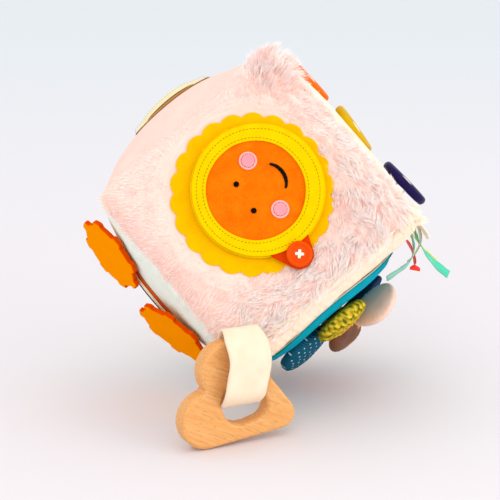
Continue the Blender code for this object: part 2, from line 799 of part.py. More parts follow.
def gear_outline():
    """Eight round-cornered teeth on a round body, each joined to it by a small fillet."""
    points = []
    half = GEAR_TOOTH_WIDTH / 2
    root_angle = math.asin((half + GEAR_FILLET) / GEAR_ROOT_RADIUS)
    foot = GEAR_ROOT_RADIUS * math.cos(root_angle)
    fillet = arc((foot + GEAR_FILLET, half + GEAR_FILLET), GEAR_FILLET, 180, 270, 3)
    corner = arc((GEAR_TIP_RADIUS - GEAR_CORNER, half - GEAR_CORNER), GEAR_CORNER, 90, 0, 3)
    flank = np.concatenate([fillet, corner])
    tooth = np.concatenate([flank * np.array([1, -1]), flank[::-1]])
    for k in range(GEAR_TEETH):
        heading = 2 * math.pi * k / GEAR_TEETH
        points.append(tooth @ spin_matrix(heading))
        for share in (1 / 3, 2 / 3):
            between = heading + root_angle + share * (2 * math.pi / GEAR_TEETH - 2 * root_angle)
            points.append(GEAR_ROOT_RADIUS * np.array([(math.cos(between), math.sin(between))]))
    return np.concatenate(points)


stud_base_low = SEAT_GAP
stud_base_high = stud_base_low + STUD_BASE
socket_low = stud_base_high + SEAT_GAP
socket_high = socket_low + SOCKET_HEIGHT
gear_low = socket_high + SEAT_GAP
stud_head_high = gear_low - SNAP_CLEARANCE

for seat, turn in zip((GEAR_UPPER, GEAR_LOWER), GEAR_TURNS):
    label = seat.label
    axle = empty("gear_axis_" + label, block, seat.frame(GEAR, GEAR_DEPTH))
    stud_middle = (socket_low + socket_high) / 2
    foot = SEAT_GAP + STUD_SHANK_RADIUS * math.tan(seat.lean) - seat.stand_off
    profile = [
        (0, foot),
        (STUD_SHANK_RADIUS, foot),
        (STUD_SHANK_RADIUS, stud_base_low),
        (STUD_BASE_RADIUS, stud_base_low),
        (STUD_BASE_RADIUS, stud_base_high),
        (STUD_POST_RADIUS, stud_base_high),
        (STUD_POST_RADIUS, stud_middle),
        (STUD_HEAD_RADIUS, stud_middle + (stud_head_high - stud_middle) / 2),
        (STUD_POST_RADIUS, stud_head_high),
        (0, stud_head_high),
    ]
    turned("snap_stud_" + label, profile, 20, CLEAR_SNAP, axle)
    washer(
        "snap_socket_" + label,
        circle(SOCKET_RADIUS, 20),
        circle(STUD_HEAD_RADIUS + SNAP_CLEARANCE, 20),
        socket_low,
        socket_high,
        CLEAR_SNAP,
        axle,
    )
    outline = gear_outline()
    inset = offset_outline(outline, -GEAR_SOFT_EDGE)
    loops = [
        at_height(inset, gear_low),
        at_height(outline, gear_low + GEAR_SOFT_EDGE),
        at_height(outline, gear_low + GEAR_THICKNESS - GEAR_SOFT_EDGE),
        at_height(inset, gear_low + GEAR_THICKNESS),
    ]
    lofted("gear_" + label, loops, GEAR_FELT, axle, Matrix.Rotation(turn, 4, "Z"))

STRIP_END_CLEARANCE = 0.002
STRIP_ORANGE_WIDTH = 0.014
STRIP_CREAM_WIDTH = 0.0070
STRIP_BLACK_WIDTH = 0.0018
STRIP_THICKNESS = 0.0008


strip_start = GEAR_UPPER.along + STUD_BASE_RADIUS + STRIP_END_CLEARANCE
strip_end = GEAR_LOWER.along - STUD_BASE_RADIUS - STRIP_END_CLEARANCE


def crown_strip(name, middle, width, lift, material):
    """Flat strip laid over the gear side's crown, from one gear's stud to the other's."""
    along, across = np.meshgrid(
        np.linspace(strip_start, strip_end, 7),
        np.linspace(middle - width / 2, middle + width / 2, 3),
        indexing="ij",
    )
    top = cover_points(GEAR, along, across, lift + STRIP_THICKNESS)
    bottom = cover_points(GEAR, along, across, lift)
    return slab(name, top, bottom, material, block)


strip_lift = SOFT_GAP
upper_lift = strip_lift + STRIP_THICKNESS + SOFT_GAP
cream_middle = GEAR_DEPTH + (STRIP_ORANGE_WIDTH - STRIP_CREAM_WIDTH) / 2 - STRIP_CREAM_WIDTH / 2
black_middle = cream_middle - STRIP_CREAM_WIDTH / 2 - SOFT_GAP - STRIP_BLACK_WIDTH / 2
crown_strip("track_strip_orange", GEAR_DEPTH, STRIP_ORANGE_WIDTH, strip_lift, GEAR_FELT)
crown_strip("track_strip_cream", cream_middle, STRIP_CREAM_WIDTH, upper_lift, CREAM_COTTON)
crown_strip("track_strip_black", black_middle, STRIP_BLACK_WIDTH, upper_lift, BLACK_FELT)


# Pocket on the upper left side: a swelling patch, sewn on three edges, over a brown lining

POCKET_LENGTH = 0.062
POCKET_MOUTH = 0.028
POCKET_DEPTH = 0.080
POCKET_SHIFT = 0.006
POCKET_SHEET = 0.0016
POCKET_MOUTH_GAP = 0.0082
POCKET_OPEN_SHARE = 0.64
POCKET_SWELL = 0.0015
POCKET_TAPER_SHARE = 0.16
POCKET_GAPE_POWER = 1.5
POCKET_LIP_POWER = 0.6
LINING_THICKNESS = 0.0008


def pocket_grid(rows, columns, shrink=0.0):
    """Places over the pocket: from its rear seam (0) to its mouth (1), and from end to end."""
    depth = np.linspace(0, 1, rows)[:, None] * np.ones(columns)
    run = np.linspace(-1, 1, columns)[None, :] * np.ones((rows, 1))
    width = (POCKET_LENGTH / 2 - shrink) * (1 - POCKET_TAPER_SHARE * (1 - depth) ** 3)
    along = POCKET_MOUTH - (1 - depth) * (POCKET_DEPTH - 2 * shrink)
    return depth, run, along - shrink, POCKET_SHIFT + run * width


def pocket_lift(depth, run):
    """How far the patch stands off the panel: sewn down on three edges, open at the mouth."""
    swell = POCKET_SWELL * np.sin(math.pi * depth) * (1 - run ** 2)
    lip = np.clip(1 - (run / POCKET_OPEN_SHARE) ** 2, 0, None) ** POCKET_LIP_POWER
    return swell + POCKET_MOUTH_GAP * depth ** POCKET_GAPE_POWER * lip


depth, run, along, across = pocket_grid(11, 13)
inner_lift = 2 * SOFT_GAP + LINING_THICKNESS + pocket_lift(depth, run)
slab(
    "pocket_patch",
    cover_points(POCKET, along, across, inner_lift + POCKET_SHEET),
    cover_points(POCKET, along, across, inner_lift),
    POCKET_COTTON,
    block,
)
depth, run, along, across = pocket_grid(7, 9, shrink=POCKET_SHEET)
slab(
    "pocket_lining",
    cover_points(POCKET, along, across, SOFT_GAP + LINING_THICKNESS),
    cover_points(POCKET, along, across, SOFT_GAP),
    BROWN_LINING,
    block,
)


# Flower on the lower right side: teal felt circle, six padded petals and a domed centre

TEAL_RADIUS = 0.060
TEAL_THICKNESS = 0.0016
FLOWER_DEPTH = -0.004
FLOWER_LEVEL = -0.003
CENTRE_RADIUS = 0.0095
CENTRE_HEIGHT = 0.015
PETAL_ROOT_GAP = 0.0003
PETAL_WIDTH = 0.034
PETAL_THICKNESS = 0.0084
PETAL_CURL = 0.003
PETAL_LOW_LENGTH = 0.041
PETAL_HIGH_LENGTH = 0.044
PETAL_LOW_RISE = 0.0047
PETAL_HIGH_RISE = 0.0096
PETAL_RINGS = 9
PETAL_SIDES = 12
PETAL_TIP_SHARE = 0.22
DOME_SHARES = ((1.0, 0.0), (1.0, 0.7), (0.88, 0.87), (0.55, 0.97))


def disc_grid(radius, count):
    """Square grid of places drawn into a round outline."""
    lines = np.linspace(-1, 1, count)
    x, y = np.meshgrid(lines, lines, indexing="ij")
    return radius * x * np.sqrt(1 - y ** 2 / 2), radius * y * np.sqrt(1 - x ** 2 / 2)


along, across = disc_grid(TEAL_RADIUS, 13)
slab(
    "teal_disc",
    cover_points(FLOWER, along + FLOWER_DEPTH, across + FLOWER_LEVEL, SOFT_GAP + TEAL_THICKNESS),
    cover_points(FLOWER, along + FLOWER_DEPTH, across + FLOWER_LEVEL, SOFT_GAP),
    TEAL_FELT,
    block,
)
flower = empty(
    "flower_frame",
    block,
    crown_frame(FLOWER, FLOWER_DEPTH, FLOWER_LEVEL, lift=SOFT_GAP + TEAL_THICKNESS + SEAT_GAP),
)
dome = [(0, 0)] + [(CENTRE_RADIUS * r, CENTRE_HEIGHT * h) for r, h in DOME_SHARES] + [(0, CENTRE_HEIGHT)]
turned("flower_centre", dome, 20, CREAM_COTTON, flower)


def petal_rings(length):
    """Padded leaf: flattened rings that widen, then round off at the tip, curling back a little."""
    steps = np.linspace(0, math.pi, PETAL_RINGS + 2)[1:-1]
    turn = np.linspace(0, 2 * math.pi, PETAL_SIDES, endpoint=False)
    rings = []
    for step in steps:
        reach = length * (1 - math.cos(step)) / 2
        half_width = PETAL_WIDTH / 2 * math.sin(step) * (1 - PETAL_TIP_SHARE * math.cos(step))
        half_height = PETAL_THICKNESS / 2 * math.sin(step) ** 0.5
        height = half_height * np.sin(turn) - PETAL_CURL * (reach / length) ** 2
        ring = np.column_stack([np.full(PETAL_SIDES, reach), half_width * np.cos(turn), height])
        rings.append(ring)
    return rings


def make_petal(name, heading, tilt, roll, high, material):
    """Petal on its own hinge frame: X runs out along the petal, Y is the line it folds about."""
    length = PETAL_HIGH_LENGTH if high else PETAL_LOW_LENGTH
    rise = PETAL_HIGH_RISE if high else PETAL_LOW_RISE
    hinge = empty(
        name + "_hinge",
        flower,
        Matrix.Rotation(heading, 4, "Z")
        @ Matrix.Translation((CENTRE_RADIUS + PETAL_ROOT_GAP, 0, rise))
        @ Matrix.Rotation(-tilt, 4, "Y")
        @ Matrix.Rotation(roll, 4, "X"),
    )
    rings = petal_rings(length)
    root = np.array([[0.0, 0.0, 0.0]])
    tip = np.array([[length, 0.0, -PETAL_CURL]])
    points = np.concatenate([root] + rings + [tip])
    last = len(points) - 1
    faces = []
    for i in range(PETAL_SIDES):
        j = (i + 1) % PETAL_SIDES
        faces.append((0, 1 + i, 1 + j))
        faces.append((last, last - PETAL_SIDES + j, last - PETAL_SIDES + i))
        for k in range(len(rings) - 1):
            start = 1 + k * PETAL_SIDES
            faces.append((start + i, start + PETAL_SIDES + i, start + PETAL_SIDES + j, start + j))
    return add_piece(name, points, faces, material, hinge)


# Name, heading from the block's rear, tilt off the panel and roll about its own length, in degrees
PETALS = (
    ("petal_lime", 180, 3, 0, False, LIME_CHENILLE),
    ("petal_blush", 120, 14, 18, True, BLUSH_SATIN),
    ("petal_navy", 60, 1, 0, False, NAVY_COTTON),
    ("petal_brown", 0, 26, 0, True, BROWN_SATIN),
    ("petal_salmon", -40, 3, 0, False, SALMON_COTTON),
    ("petal_blue", -105, 3, 16, False, BLUE_COTTON),
)
for name, heading, tilt, roll, high, material in PETALS:
    make_petal(name, math.radians(heading), math.radians(tilt), math.radians(roll), high, material)


# Ribbons and tags sewn into the seam between the button side and the flower side

RIBBON_THICKNESS = 0.0009
RIBBON_START = 0.0008
RIBBON_STEPS = 9
RUFFLE_DEPTH = -0.0655
RUFFLE_WIDTH = 0.011
RUFFLE_LENGTH = 0.012
TAG_DEPTH = -0.0555
TAG_WIDTH = 0.0075
TAG_LENGTH = 0.027
TEAL_DEPTH = -0.0455
TEAL_WIDTH = 0.0095
TEAL_LENGTH = 0.040
YELLOW_DEPTH = -0.0345
YELLOW_WIDTH = 0.0085
YELLOW_LENGTH = 0.028
MINT_DEPTH = -0.0200
MINT_WIDTH = 0.0100
MINT_LENGTH = 0.043
RED_DEPTH = 0.0180
RED_WIDTH = 0.0090
RED_LENGTH = 0.029


def seam_point(depth):
    """Where the seam between those two sides lies, at a depth behind the block's middle."""
    return cover_points(BUTTON, HALF, depth)


def make_ribbon(name, depth, width, length, bends, material, twist=0.0):
    """Tape that leaves the seam and bends evenly through the given angles, in degrees.

    The angles are counted from straight out of the flower side towards straight out of the
    button side. A twist turns the tape about its length, from none at the seam to all at its end.
    """
    start = seam_point(depth) + RIBBON_START * np.array([1, 0, 1]) / math.sqrt(2)
    steps = np.linspace(0, len(bends) - 1, RIBBON_STEPS)
    angles = np.radians(np.interp(steps, range(len(bends)), bends))
    turn = (angles[1:] + angles[:-1]) / 2
    step = length / (RIBBON_STEPS - 1)
    x = start[0] + step * np.concatenate([[0.0], np.cumsum(np.cos(turn))])
    z = start[2] + step * np.concatenate([[0.0], np.cumsum(np.sin(turn))])
    line = np.column_stack([x, np.full(RIBBON_STEPS, depth), z])
    flat = np.column_stack([-np.sin(angles), np.zeros(RIBBON_STEPS), np.cos(angles)])
    spin = np.linspace(0, math.radians(twist), RIBBON_STEPS)[:, None]
    across = np.cos(spin) * np.array([0.0, 1.0, 0.0]) + np.sin(spin) * flat
    normal = np.cos(spin) * flat - np.sin(spin) * np.array([0.0, 1.0, 0.0])
    sheets = []
    for offset in (RIBBON_THICKNESS / 2, -RIBBON_THICKNESS / 2):
        edges = [line + offset * normal + side * width / 2 * across for side in (-1, 1)]
        sheets.append(np.stack(edges, axis=1))
    return slab(name, sheets[0], sheets[1], material, block)

make_ribbon("corner_ruffle", RUFFLE_DEPTH, RUFFLE_WIDTH, RUFFLE_LENGTH, (10, -20), CREAM_COTTON)
make_ribbon("tag_cream", TAG_DEPTH, TAG_WIDTH, TAG_LENGTH, (-5, -60, -95), CREAM_COTTON)
make_ribbon("ribbon_teal", TEAL_DEPTH, TEAL_WIDTH, TEAL_LENGTH, (-32, -2, 14), TEAL_RIBBON, twist=30)
make_ribbon("ribbon_yellow", YELLOW_DEPTH, YELLOW_WIDTH, YELLOW_LENGTH, (-26, 0, 8), YELLOW_RIBBON, twist=18)
make_ribbon("ribbon_mint", MINT_DEPTH, MINT_WIDTH, MINT_LENGTH, (-4, -45, -95, -98), MINT_RIBBON)
make_ribbon("ribbon_red", RED_DEPTH, RED_WIDTH, RED_LENGTH, (10, -20, -48), RED_RIBBON)


# Stand the block on its lower rear corner

def world_points(piece):
    """World places of a piece's own points."""
    return [piece.matrix_world @ vertex.co for vertex in piece.data.vertices]


def solid_pieces():
    return [piece for piece in bpy.data.objects if piece.type == "MESH" and not piece.hide_render]


block.matrix_basis = Matrix.Rotation(-LEAN, 4, "X") @ Matrix.Rotation(ROLL, 4, "Y")
bpy.context.view_layer.update()
lowest = min(point.z for piece in solid_pieces() for point in world_points(piece))
block.location = (0, 0, -FLOOR_FLAT - lowest)
bpy.context.view_layer.update()

# The corner that carries the block is pressed flat where it stands
FLOOR_TOOL = 0.06
rear_corner = block.matrix_world @ Vector(cover_points(BACK, -HALF, -HALF))
tool_outline = FLOOR_TOOL * np.array([(-1, -1), (1, -1), (1, 1), (-1, 1)])
floor_tool = lofted(
    "floor_tool",
    [at_height(tool_outline, -FLOOR_TOOL), at_height(tool_outline, 0)],
    CREAM_COTTON,
    matrix=Matrix.Translation((rear_corner.x, rear_corner.y, 0)),
)
for panel in (back_panel, flower_panel, gear_panel):
    cut(panel, floor_tool)


# Wooden heart that stands on the floor in front of the lower corner

HEART_THICKNESS = 0.012
HEART_LOBE_RADIUS = 0.0185
HEART_LOBE_OFFSET = 0.0165
HEART_TIP_RADIUS = 0.0095
HEART_TIP_REACH = 0.0485
HOLE_ROUND_RADIUS = 0.0142
HOLE_ROUND_REACH = 0.0182
HOLE_NARROW_RADIUS = 0.0085
HOLE_NARROW_REACH = 0.0275
HEART_EDGE = 0.0022
HEART_YAW = math.radians(25)
HEART_TURN = math.radians(-23)
HEART_LEFT_OF_CORNER = 0.0205
HEART_AHEAD_OF_CORNER = 0.0292


def heart_outline(count):
    """Two lobes and a tip joined by straight tangents, with a shallow notch between the lobes."""
    lobe, offset = HEART_LOBE_RADIUS, HEART_LOBE_OFFSET
    side = tangent_angle((HEART_TIP_REACH, 0, HEART_TIP_RADIUS), (0, offset, lobe))
    notch = math.pi + math.asin(offset / lobe)
    turn = np.linspace(side, notch, 3 * ARC_STEPS)
    upper = np.column_stack([lobe * np.cos(turn), offset + lobe * np.sin(turn)])
    tip_turn = np.linspace(-side, side, ARC_STEPS)
    tip = np.column_stack(
        [HEART_TIP_REACH + HEART_TIP_RADIUS * np.cos(tip_turn), HEART_TIP_RADIUS * np.sin(tip_turn)]
    )
    lower = upper[::-1][1:] * np.array([1, -1])
    return even_points(np.concatenate([tip, upper, lower]), count)


def hole_outline(count):
    """Egg-shaped hole, its points counted from the tip as the heart's are."""
    narrow = (HOLE_NARROW_REACH, 0, HOLE_NARROW_RADIUS)
    round_end = (HOLE_ROUND_REACH, 0, HOLE_ROUND_RADIUS)
    return hull_of_circles([narrow, round_end], count)


def make_heart(name, parent, matrix):
    """Heart ring with its four edges rounded over."""
    count = 56
    outer, inner = heart_outline(count), hole_outline(count)
    half = HEART_THICKNESS / 2
    edge = HEART_EDGE
    soft = edge / 3
    wall = ((0, half - edge), (-soft, half - soft), (-edge, half))
    loops = [at_height(offset_outline(outer, shift), height) for shift, height in wall]
    loops += [at_height(offset_outline(inner, -shift), height) for shift, height in reversed(wall)]
    loops += [at_height(offset_outline(inner, -shift), -height) for shift, height in wall]
    loops += [at_height(offset_outline(outer, shift), -height) for shift, height in reversed(wall)]
    return lofted(name, loops, BEECH, parent, matrix, ring=True)


# The heart's frame: X to its right, Y up, Z out of its face towards the viewer
corner = block.matrix_world @ Vector(cover_points(FRONT, HALF, -HALF))
heart_right = Vector((math.cos(HEART_YAW), math.sin(HEART_YAW), 0))
heart_face = Vector((math.sin(HEART_YAW), -math.cos(HEART_YAW), 0))
turned_outline = heart_outline(200) @ spin_matrix(HEART_TURN)
turned_hole = hole_outline(200) @ spin_matrix(HEART_TURN)
limb_under = turned_hole[:, 1].max()
heart_height = SEAT_GAP - turned_outline[:, 1].min()
heart_place = Vector((corner.x - HEART_LEFT_OF_CORNER, corner.y - HEART_AHEAD_OF_CORNER, heart_height))
hang_matrix = frame_matrix(heart_place, heart_right, heart_face)

STRAP_WIDTH = 0.025
STRAP_THICKNESS = 0.0020
STRAP_CLEARANCE = 0.0022
STRAP_ALONG = 0.0175
BIGHT_DROP = 0.0075
CREST_RISE = 0.0060
STRAP_SLACK = 0.0055
STRAP_EDGE_SHARE = 0.92
STRAP_STEPS = 36

# Cross-section of the strap loop, in the heart's frame: how far in front of it, and how high
root = hang_matrix.inverted() @ corner
stand_off = HEART_THICKNESS / 2 + STRAP_CLEARANCE + STRAP_THICKNESS / 2
limb_top = turned_outline[:, 1].max()
crest = limb_top + CREST_RISE
shoulder = limb_top - STRAP_SLACK
strap_points = np.array([
    (root.z, root.y),
    (-stand_off, (root.y + shoulder) / 2),
    (-stand_off, shoulder),
    (0, crest),
    (stand_off + STRAP_SLACK, shoulder),
    (stand_off + STRAP_SLACK, (shoulder - BIGHT_DROP) / 2),
    (stand_off, STRAP_SLACK / 2),
    (0, -BIGHT_DROP),
    (-stand_off, STRAP_SLACK / 2),
])


def smooth_loop(points, steps):
    """Closed curve through the given points (Catmull-Rom)."""
    before, after, far = np.roll(points, 1, 0), np.roll(points, -1, 0), np.roll(points, -2, 0)
    share = np.linspace(0, 1, steps, endpoint=False)[None, :, None]
    p0, p1, p2, p3 = (row[:, None, :] for row in (before, points, after, far))
    curve = 0.5 * (
        2 * p1
        + (p2 - p0) * share
        + (2 * p0 - 5 * p1 + 4 * p2 - p3) * share ** 2
        + (3 * p1 - p0 - 3 * p2 + p3) * share ** 3
    )
    return curve.reshape(-1, points.shape[1])


def make_strap(name, parent, matrix):
    """Flat band carried round the loop, a little thinner at its two woven edges."""
    line = even_points(smooth_loop(strap_points, 8), STRAP_STEPS)
    tangent = np.roll(line, -1, 0) - np.roll(line, 1, 0)
    tangent /= np.linalg.norm(tangent, axis=1)[:, None]
    normal = np.column_stack([tangent[:, 1], -tangent[:, 0]])
    half, thick = STRAP_WIDTH / 2, STRAP_THICKNESS / 2
    flat = half * STRAP_EDGE_SHARE
    upper = [(-flat, thick), (0, thick), (flat, thick)]
    section = [(-half, 0)] + upper + [(half, 0)] + [(x, -t) for x, t in upper[::-1]]
    loops = []
    for (front, up), (across, lift) in zip(line, normal):
        ring = [(STRAP_ALONG + x, up + lift * t, front + across * t) for x, t in section]
        loops.append(np.array(ring))
    return lofted(name, loops, CREAM_COTTON, parent, matrix, ring=True)


# The strap swings about its sewn root, and the heart swings in its own plane on the bight
strap_place = hang_matrix @ Matrix.Translation((STRAP_ALONG, root.y, root.z))
strap_swing = empty("heart_strap_swing", matrix=strap_place)
to_strap = Matrix.Translation((-STRAP_ALONG, -root.y, -root.z))
make_strap("heart_strap", strap_swing, to_strap)
heart_swing = empty("heart_swing", strap_swing, to_strap @ Matrix.Translation((STRAP_ALONG, limb_under, 0)))
make_heart(
    "heart_teether",
    heart_swing,
    Matrix.Translation((-STRAP_ALONG, -limb_under, 0)) @ Matrix.Rotation(HEART_TURN, 4, "Z"),
)

# Put the origin under the middle of the finished part
bpy.context.view_layer.update()
places = np.array([point for piece in solid_pieces() for point in world_points(piece)])
middle = (places.min(axis=0) + places.max(axis=0)) / 2
for frame in (block, floor_tool, strap_swing):
    frame.location.x -= middle[0]
    frame.location.y -= middle[1]
bpy.context.view_layer.update()
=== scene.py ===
import json
import math

import bmesh
import bpy
import numpy as np
from mathutils import Matrix, Vector


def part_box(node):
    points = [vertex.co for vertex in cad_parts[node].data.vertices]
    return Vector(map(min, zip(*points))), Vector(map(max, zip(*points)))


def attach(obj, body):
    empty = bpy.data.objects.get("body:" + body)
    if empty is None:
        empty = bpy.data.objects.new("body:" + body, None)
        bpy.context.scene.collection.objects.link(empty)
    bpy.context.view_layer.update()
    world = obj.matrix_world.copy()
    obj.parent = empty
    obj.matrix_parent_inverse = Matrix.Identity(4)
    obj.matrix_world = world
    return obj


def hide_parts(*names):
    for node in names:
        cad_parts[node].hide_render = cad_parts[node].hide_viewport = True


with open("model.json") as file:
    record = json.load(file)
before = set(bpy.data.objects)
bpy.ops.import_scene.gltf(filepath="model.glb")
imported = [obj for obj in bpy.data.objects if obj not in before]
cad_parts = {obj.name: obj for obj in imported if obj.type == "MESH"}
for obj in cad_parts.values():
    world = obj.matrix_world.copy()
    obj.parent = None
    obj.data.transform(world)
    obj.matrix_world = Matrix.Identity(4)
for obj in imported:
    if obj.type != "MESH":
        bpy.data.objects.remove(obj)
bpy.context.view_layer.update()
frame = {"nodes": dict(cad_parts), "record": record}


# The block's form: a cube of fibre filling in a cover of six sewn squares, whose edges the filling
# draws in and whose middles it crowns. It stands on its lower rear corner, rolled and leaning back.

BLOCK_SIDE = 0.150
HALF = BLOCK_SIDE / 2
COVER_THICKNESS = 0.003
SOFT_GAP = 0.0005
SEAT_GAP = 0.0003
EDGE_DRAW_SHARE = 0.03
CORNER_BLUNT_SHARE = 0.05
CORNER_BLUNT_POWER = 6
BACK_CROWN = 0.009
ROLL = math.radians(50)
LEAN = math.radians(17)

mount = frame["record"]["mounts"][0]
block_middle = Vector(mount["pos_m"]) - Vector(mount["axis"]) * (HALF + BACK_CROWN)
block = Matrix.Translation(block_middle) @ Matrix.Rotation(-LEAN, 4, "X") @ Matrix.Rotation(ROLL, 4, "Y")


class Side:
    """One side of the block: its directions, and the crown that the filling gives it."""

    def __init__(self, name, along, across, crown, flat_share, crown_power):
        self.name = name
        self.along = np.array(along, float)
        self.across = np.array(across, float)
        self.out = np.cross(self.along, self.across)
        self.crown = crown
        self.flat_share = flat_share
        self.crown_power = crown_power


FRONT = Side("plush_front", (1, 0, 0), (0, 0, 1), 0.009, 0.78, 2.0)
BACK = Side("back", (-1, 0, 0), (0, 0, 1), BACK_CROWN, 0.58, 2.0)
FLOWER = Side("flower_side", (0, 1, 0), (0, 0, 1), 0.0065, 0.0, 2.4)
POCKET = Side("pocket_side", (0, -1, 0), (0, 0, 1), 0.020, 0.0, 3.0)
BUTTON = Side("button_side", (1, 0, 0), (0, 1, 0), 0.012, 0.0, 4.0)
GEAR = Side("gear_side", (1, 0, 0), (0, -1, 0), 0.012, 0.0, 2.4)


def drawn_in(t):
    """Edges bow towards the block's middle, by a parabola that is deepest at half length."""
    return 1 - EDGE_DRAW_SHARE * (1 - t ** 2)


def crown_share(t, side):
    """Share of the crown along one direction: one over the flat middle, then a power curve to zero."""
    rim = np.clip((np.abs(t) - side.flat_share) / (1 - side.flat_share), 0, None)
    return 1 - rim ** side.crown_power


def cover_points(side, along, across, lift=0.0):
    """Points of the cover in the block's frame: the cube's face, bowed edges, plus the crown's product."""
    half = HALF + lift
    u = np.asarray(along, float) / HALF
    v = np.asarray(across, float) / HALF
    full = crown_share(u, side) * crown_share(v, side)
    rise = half * drawn_in(u) * drawn_in(v) * (1 - full) + (half + side.crown) * full
    blunt = 1 - CORNER_BLUNT_SHARE * np.abs(u * v) ** CORNER_BLUNT_POWER
    place = (
        (half * u * drawn_in(v))[..., None] * side.along
        + (half * v * drawn_in(u))[..., None] * side.across
        + rise[..., None] * side.out
    )
    return place * blunt[..., None]


def placed(points, matrix):
    """Points carried by a 4 x 4 matrix."""
    turn = np.array(matrix.to_3x3())
    return np.asarray(points, float) @ turn.T + np.array(matrix.translation)


def waves(points, size, seed):
    """Smooth irregular values near -1 to 1: seven sine waves in random directions, about `size` long."""
    rng = np.random.default_rng(seed)
    points = np.asarray(points, float)
    total = np.zeros(points.shape[:-1])
    for _ in range(7):
        heading = rng.normal(size=points.shape[-1])
        heading *= 2 * math.pi / (size * rng.uniform(0.7, 1.6) * np.linalg.norm(heading))
        total += np.sin(points @ heading + rng.uniform(0, 2 * math.pi))
    return total / 3.2


def new_piece(name, points, face_groups, material, body, uv=None, tint=None, weld=False):
    """Mesh object from arrays: points, lists of equal-sided faces, a UV per point and a tint per point."""
    mesh = bpy.data.meshes.new(name)
    points = np.asarray(points, np.float32).reshape(-1, 3)
    mesh.vertices.add(len(points))
    mesh.vertices.foreach_set("co", points.ravel())
    corners = np.concatenate([np.asarray(group, np.int32).ravel() for group in face_groups])
    sizes = np.concatenate([np.full(len(group), np.shape(group)[1], np.int32) for group in face_groups])
    mesh.loops.add(len(corners))
    mesh.loops.foreach_set("vertex_index", corners)
    mesh.polygons.add(len(sizes))
    mesh.polygons.foreach_set("loop_start", np.concatenate([[0], np.cumsum(sizes)[:-1]]).astype(np.int32))
    if uv is not None:
        layer = mesh.uv_layers.new(name="cloth")
        layer.data.foreach_set("uv", np.asarray(uv, np.float32).reshape(-1, 2)[corners].ravel())
    if tint is not None:
        values = mesh.attributes.new("tint", "FLOAT_COLOR", "POINT")
        values.data.foreach_set("color", np.asarray(tint, np.float32).reshape(-1, 4).ravel())
    mesh.update(calc_edges=True)
    if weld:
        skin = bmesh.new()
        skin.from_mesh(mesh)
        bmesh.ops.remove_doubles(skin, verts=skin.verts, dist=0.000002)
        bmesh.ops.recalc_face_normals(skin, faces=skin.faces)
        skin.to_mesh(mesh)
        skin.free()
    mesh.shade_smooth()
    mesh.materials.append(material)
    piece = bpy.data.objects.new(name, mesh)
    bpy.context.scene.collection.objects.link(piece)
    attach(piece, body)
    return piece


def grid_quads(rows, columns, start=0):
    """Quads over a grid of points numbered row by row."""
    index = start + np.arange(rows * columns).reshape(rows, columns)
    return np.stack([index[:-1, :-1], index[1:, :-1], index[1:, 1:], index[:-1, 1:]], -1).reshape(-1, 4)


def sheet_quads(rows, columns):
    """Quads of a closed sheet: an upper grid, a lower grid turned over, and a wall along the rim."""
    count = rows * columns
    index = np.arange(count).reshape(rows, columns)
    rim = np.concatenate([index[:, 0], index[-1, 1:], index[-2::-1, -1], index[0, -2:0:-1]])
    ahead = np.roll(rim, -1)
    wall = np.stack([rim, rim + count, ahead + count, ahead], -1)
    return np.concatenate([grid_quads(rows, columns), grid_quads(rows, columns, count)[:, ::-1], wall])


def linear(colour):
    """sRGB hex colour to linear RGBA."""
    srgb = np.array([int(colour[k:k + 2], 16) for k in (1, 3, 5)]) / 255
    return (*np.where(srgb <= 0.04045, srgb / 12.92, ((srgb + 0.055) / 1.055) ** 2.4).tolist(), 1.0)


def add(tree, kind, links, **settings):
    """Add one shader node, set its properties, and give each named input a value or a link."""
    node = tree.nodes.new("ShaderNode" + kind)
    for key, value in settings.items():
        setattr(node, key, value)
    for key, value in links.items():
        if isinstance(value, bpy.types.NodeSocket):
            tree.links.new(value, node.inputs[key])
        else:
            node.inputs[key].default_value = value
    return node


def new_material(name, roughness, sheen=0.0, ior=1.5, specular=0.15):
    """Principled material, with what is the same all over it set on the shader's own sockets."""
    material = bpy.data.materials.new(name)
    material.use_nodes = True
    tree = material.node_tree
    shader = tree.nodes["Principled BSDF"]
    shader.inputs["Roughness"].default_value = roughness
    shader.inputs["IOR"].default_value = ior
    shader.inputs["Sheen Weight"].default_value = sheen
    shader.inputs["Sheen Roughness"].default_value = 0.5
    shader.inputs["Specular IOR Level"].default_value = specular
    return material, tree, shader


def noise(tree, vector, size, detail=2.0, **links):
    """Noise whose grain is about `size` metres across."""
    links = {"Vector": vector, "Scale": 1 / size, "Detail": detail, **links}
    return add(tree, "TexNoise", links).outputs["Fac"]


def wave(tree, vector, pitch, way, **links):
    """Bands `pitch` metres apart: the node's own bands are 0.314159 of a unit apart at scale 1."""
    links = {"Vector": vector, "Scale": 0.314159 / pitch, **links}
    return add(tree, "TexWave", links, bands_direction=way).outputs["Fac"]


def times_plus(tree, value, factor, more):
    """Node that gives value times factor plus more."""
    links = {0: value, 1: factor, 2: more}
    return add(tree, "Math", links, operation="MULTIPLY_ADD").outputs["Value"]


def ranged(tree, value, low, high, to_low=0.0, to_high=1.0):
    """Node that carries the range low to high over to another in a straight line, and stops there."""
    links = {"Value": value, "From Min": low, "From Max": high, "To Min": to_low, "To Max": to_high}
    return add(tree, "MapRange", links).outputs["Result"]


def blend(tree, factor, low, high):
    """Mix of two colours by a factor; each is an sRGB hex code or a node's output."""
    low, high = (linear(colour) if isinstance(colour, str) else colour for colour in (low, high))
    return add(tree, "Mix", {"Factor": factor, "A": low, "B": high}, data_type="RGBA").outputs["Result"]


def dress(tree, shader, colour, height, strength, distance):
    """Link a colour to the shader, and a height as its bump."""
    tree.links.new(colour, shader.inputs["Base Color"])
    bump = add(tree, "Bump", {"Height": height, "Strength": strength, "Distance": distance})
    tree.links.new(bump.outputs["Normal"], shader.inputs["Normal"])


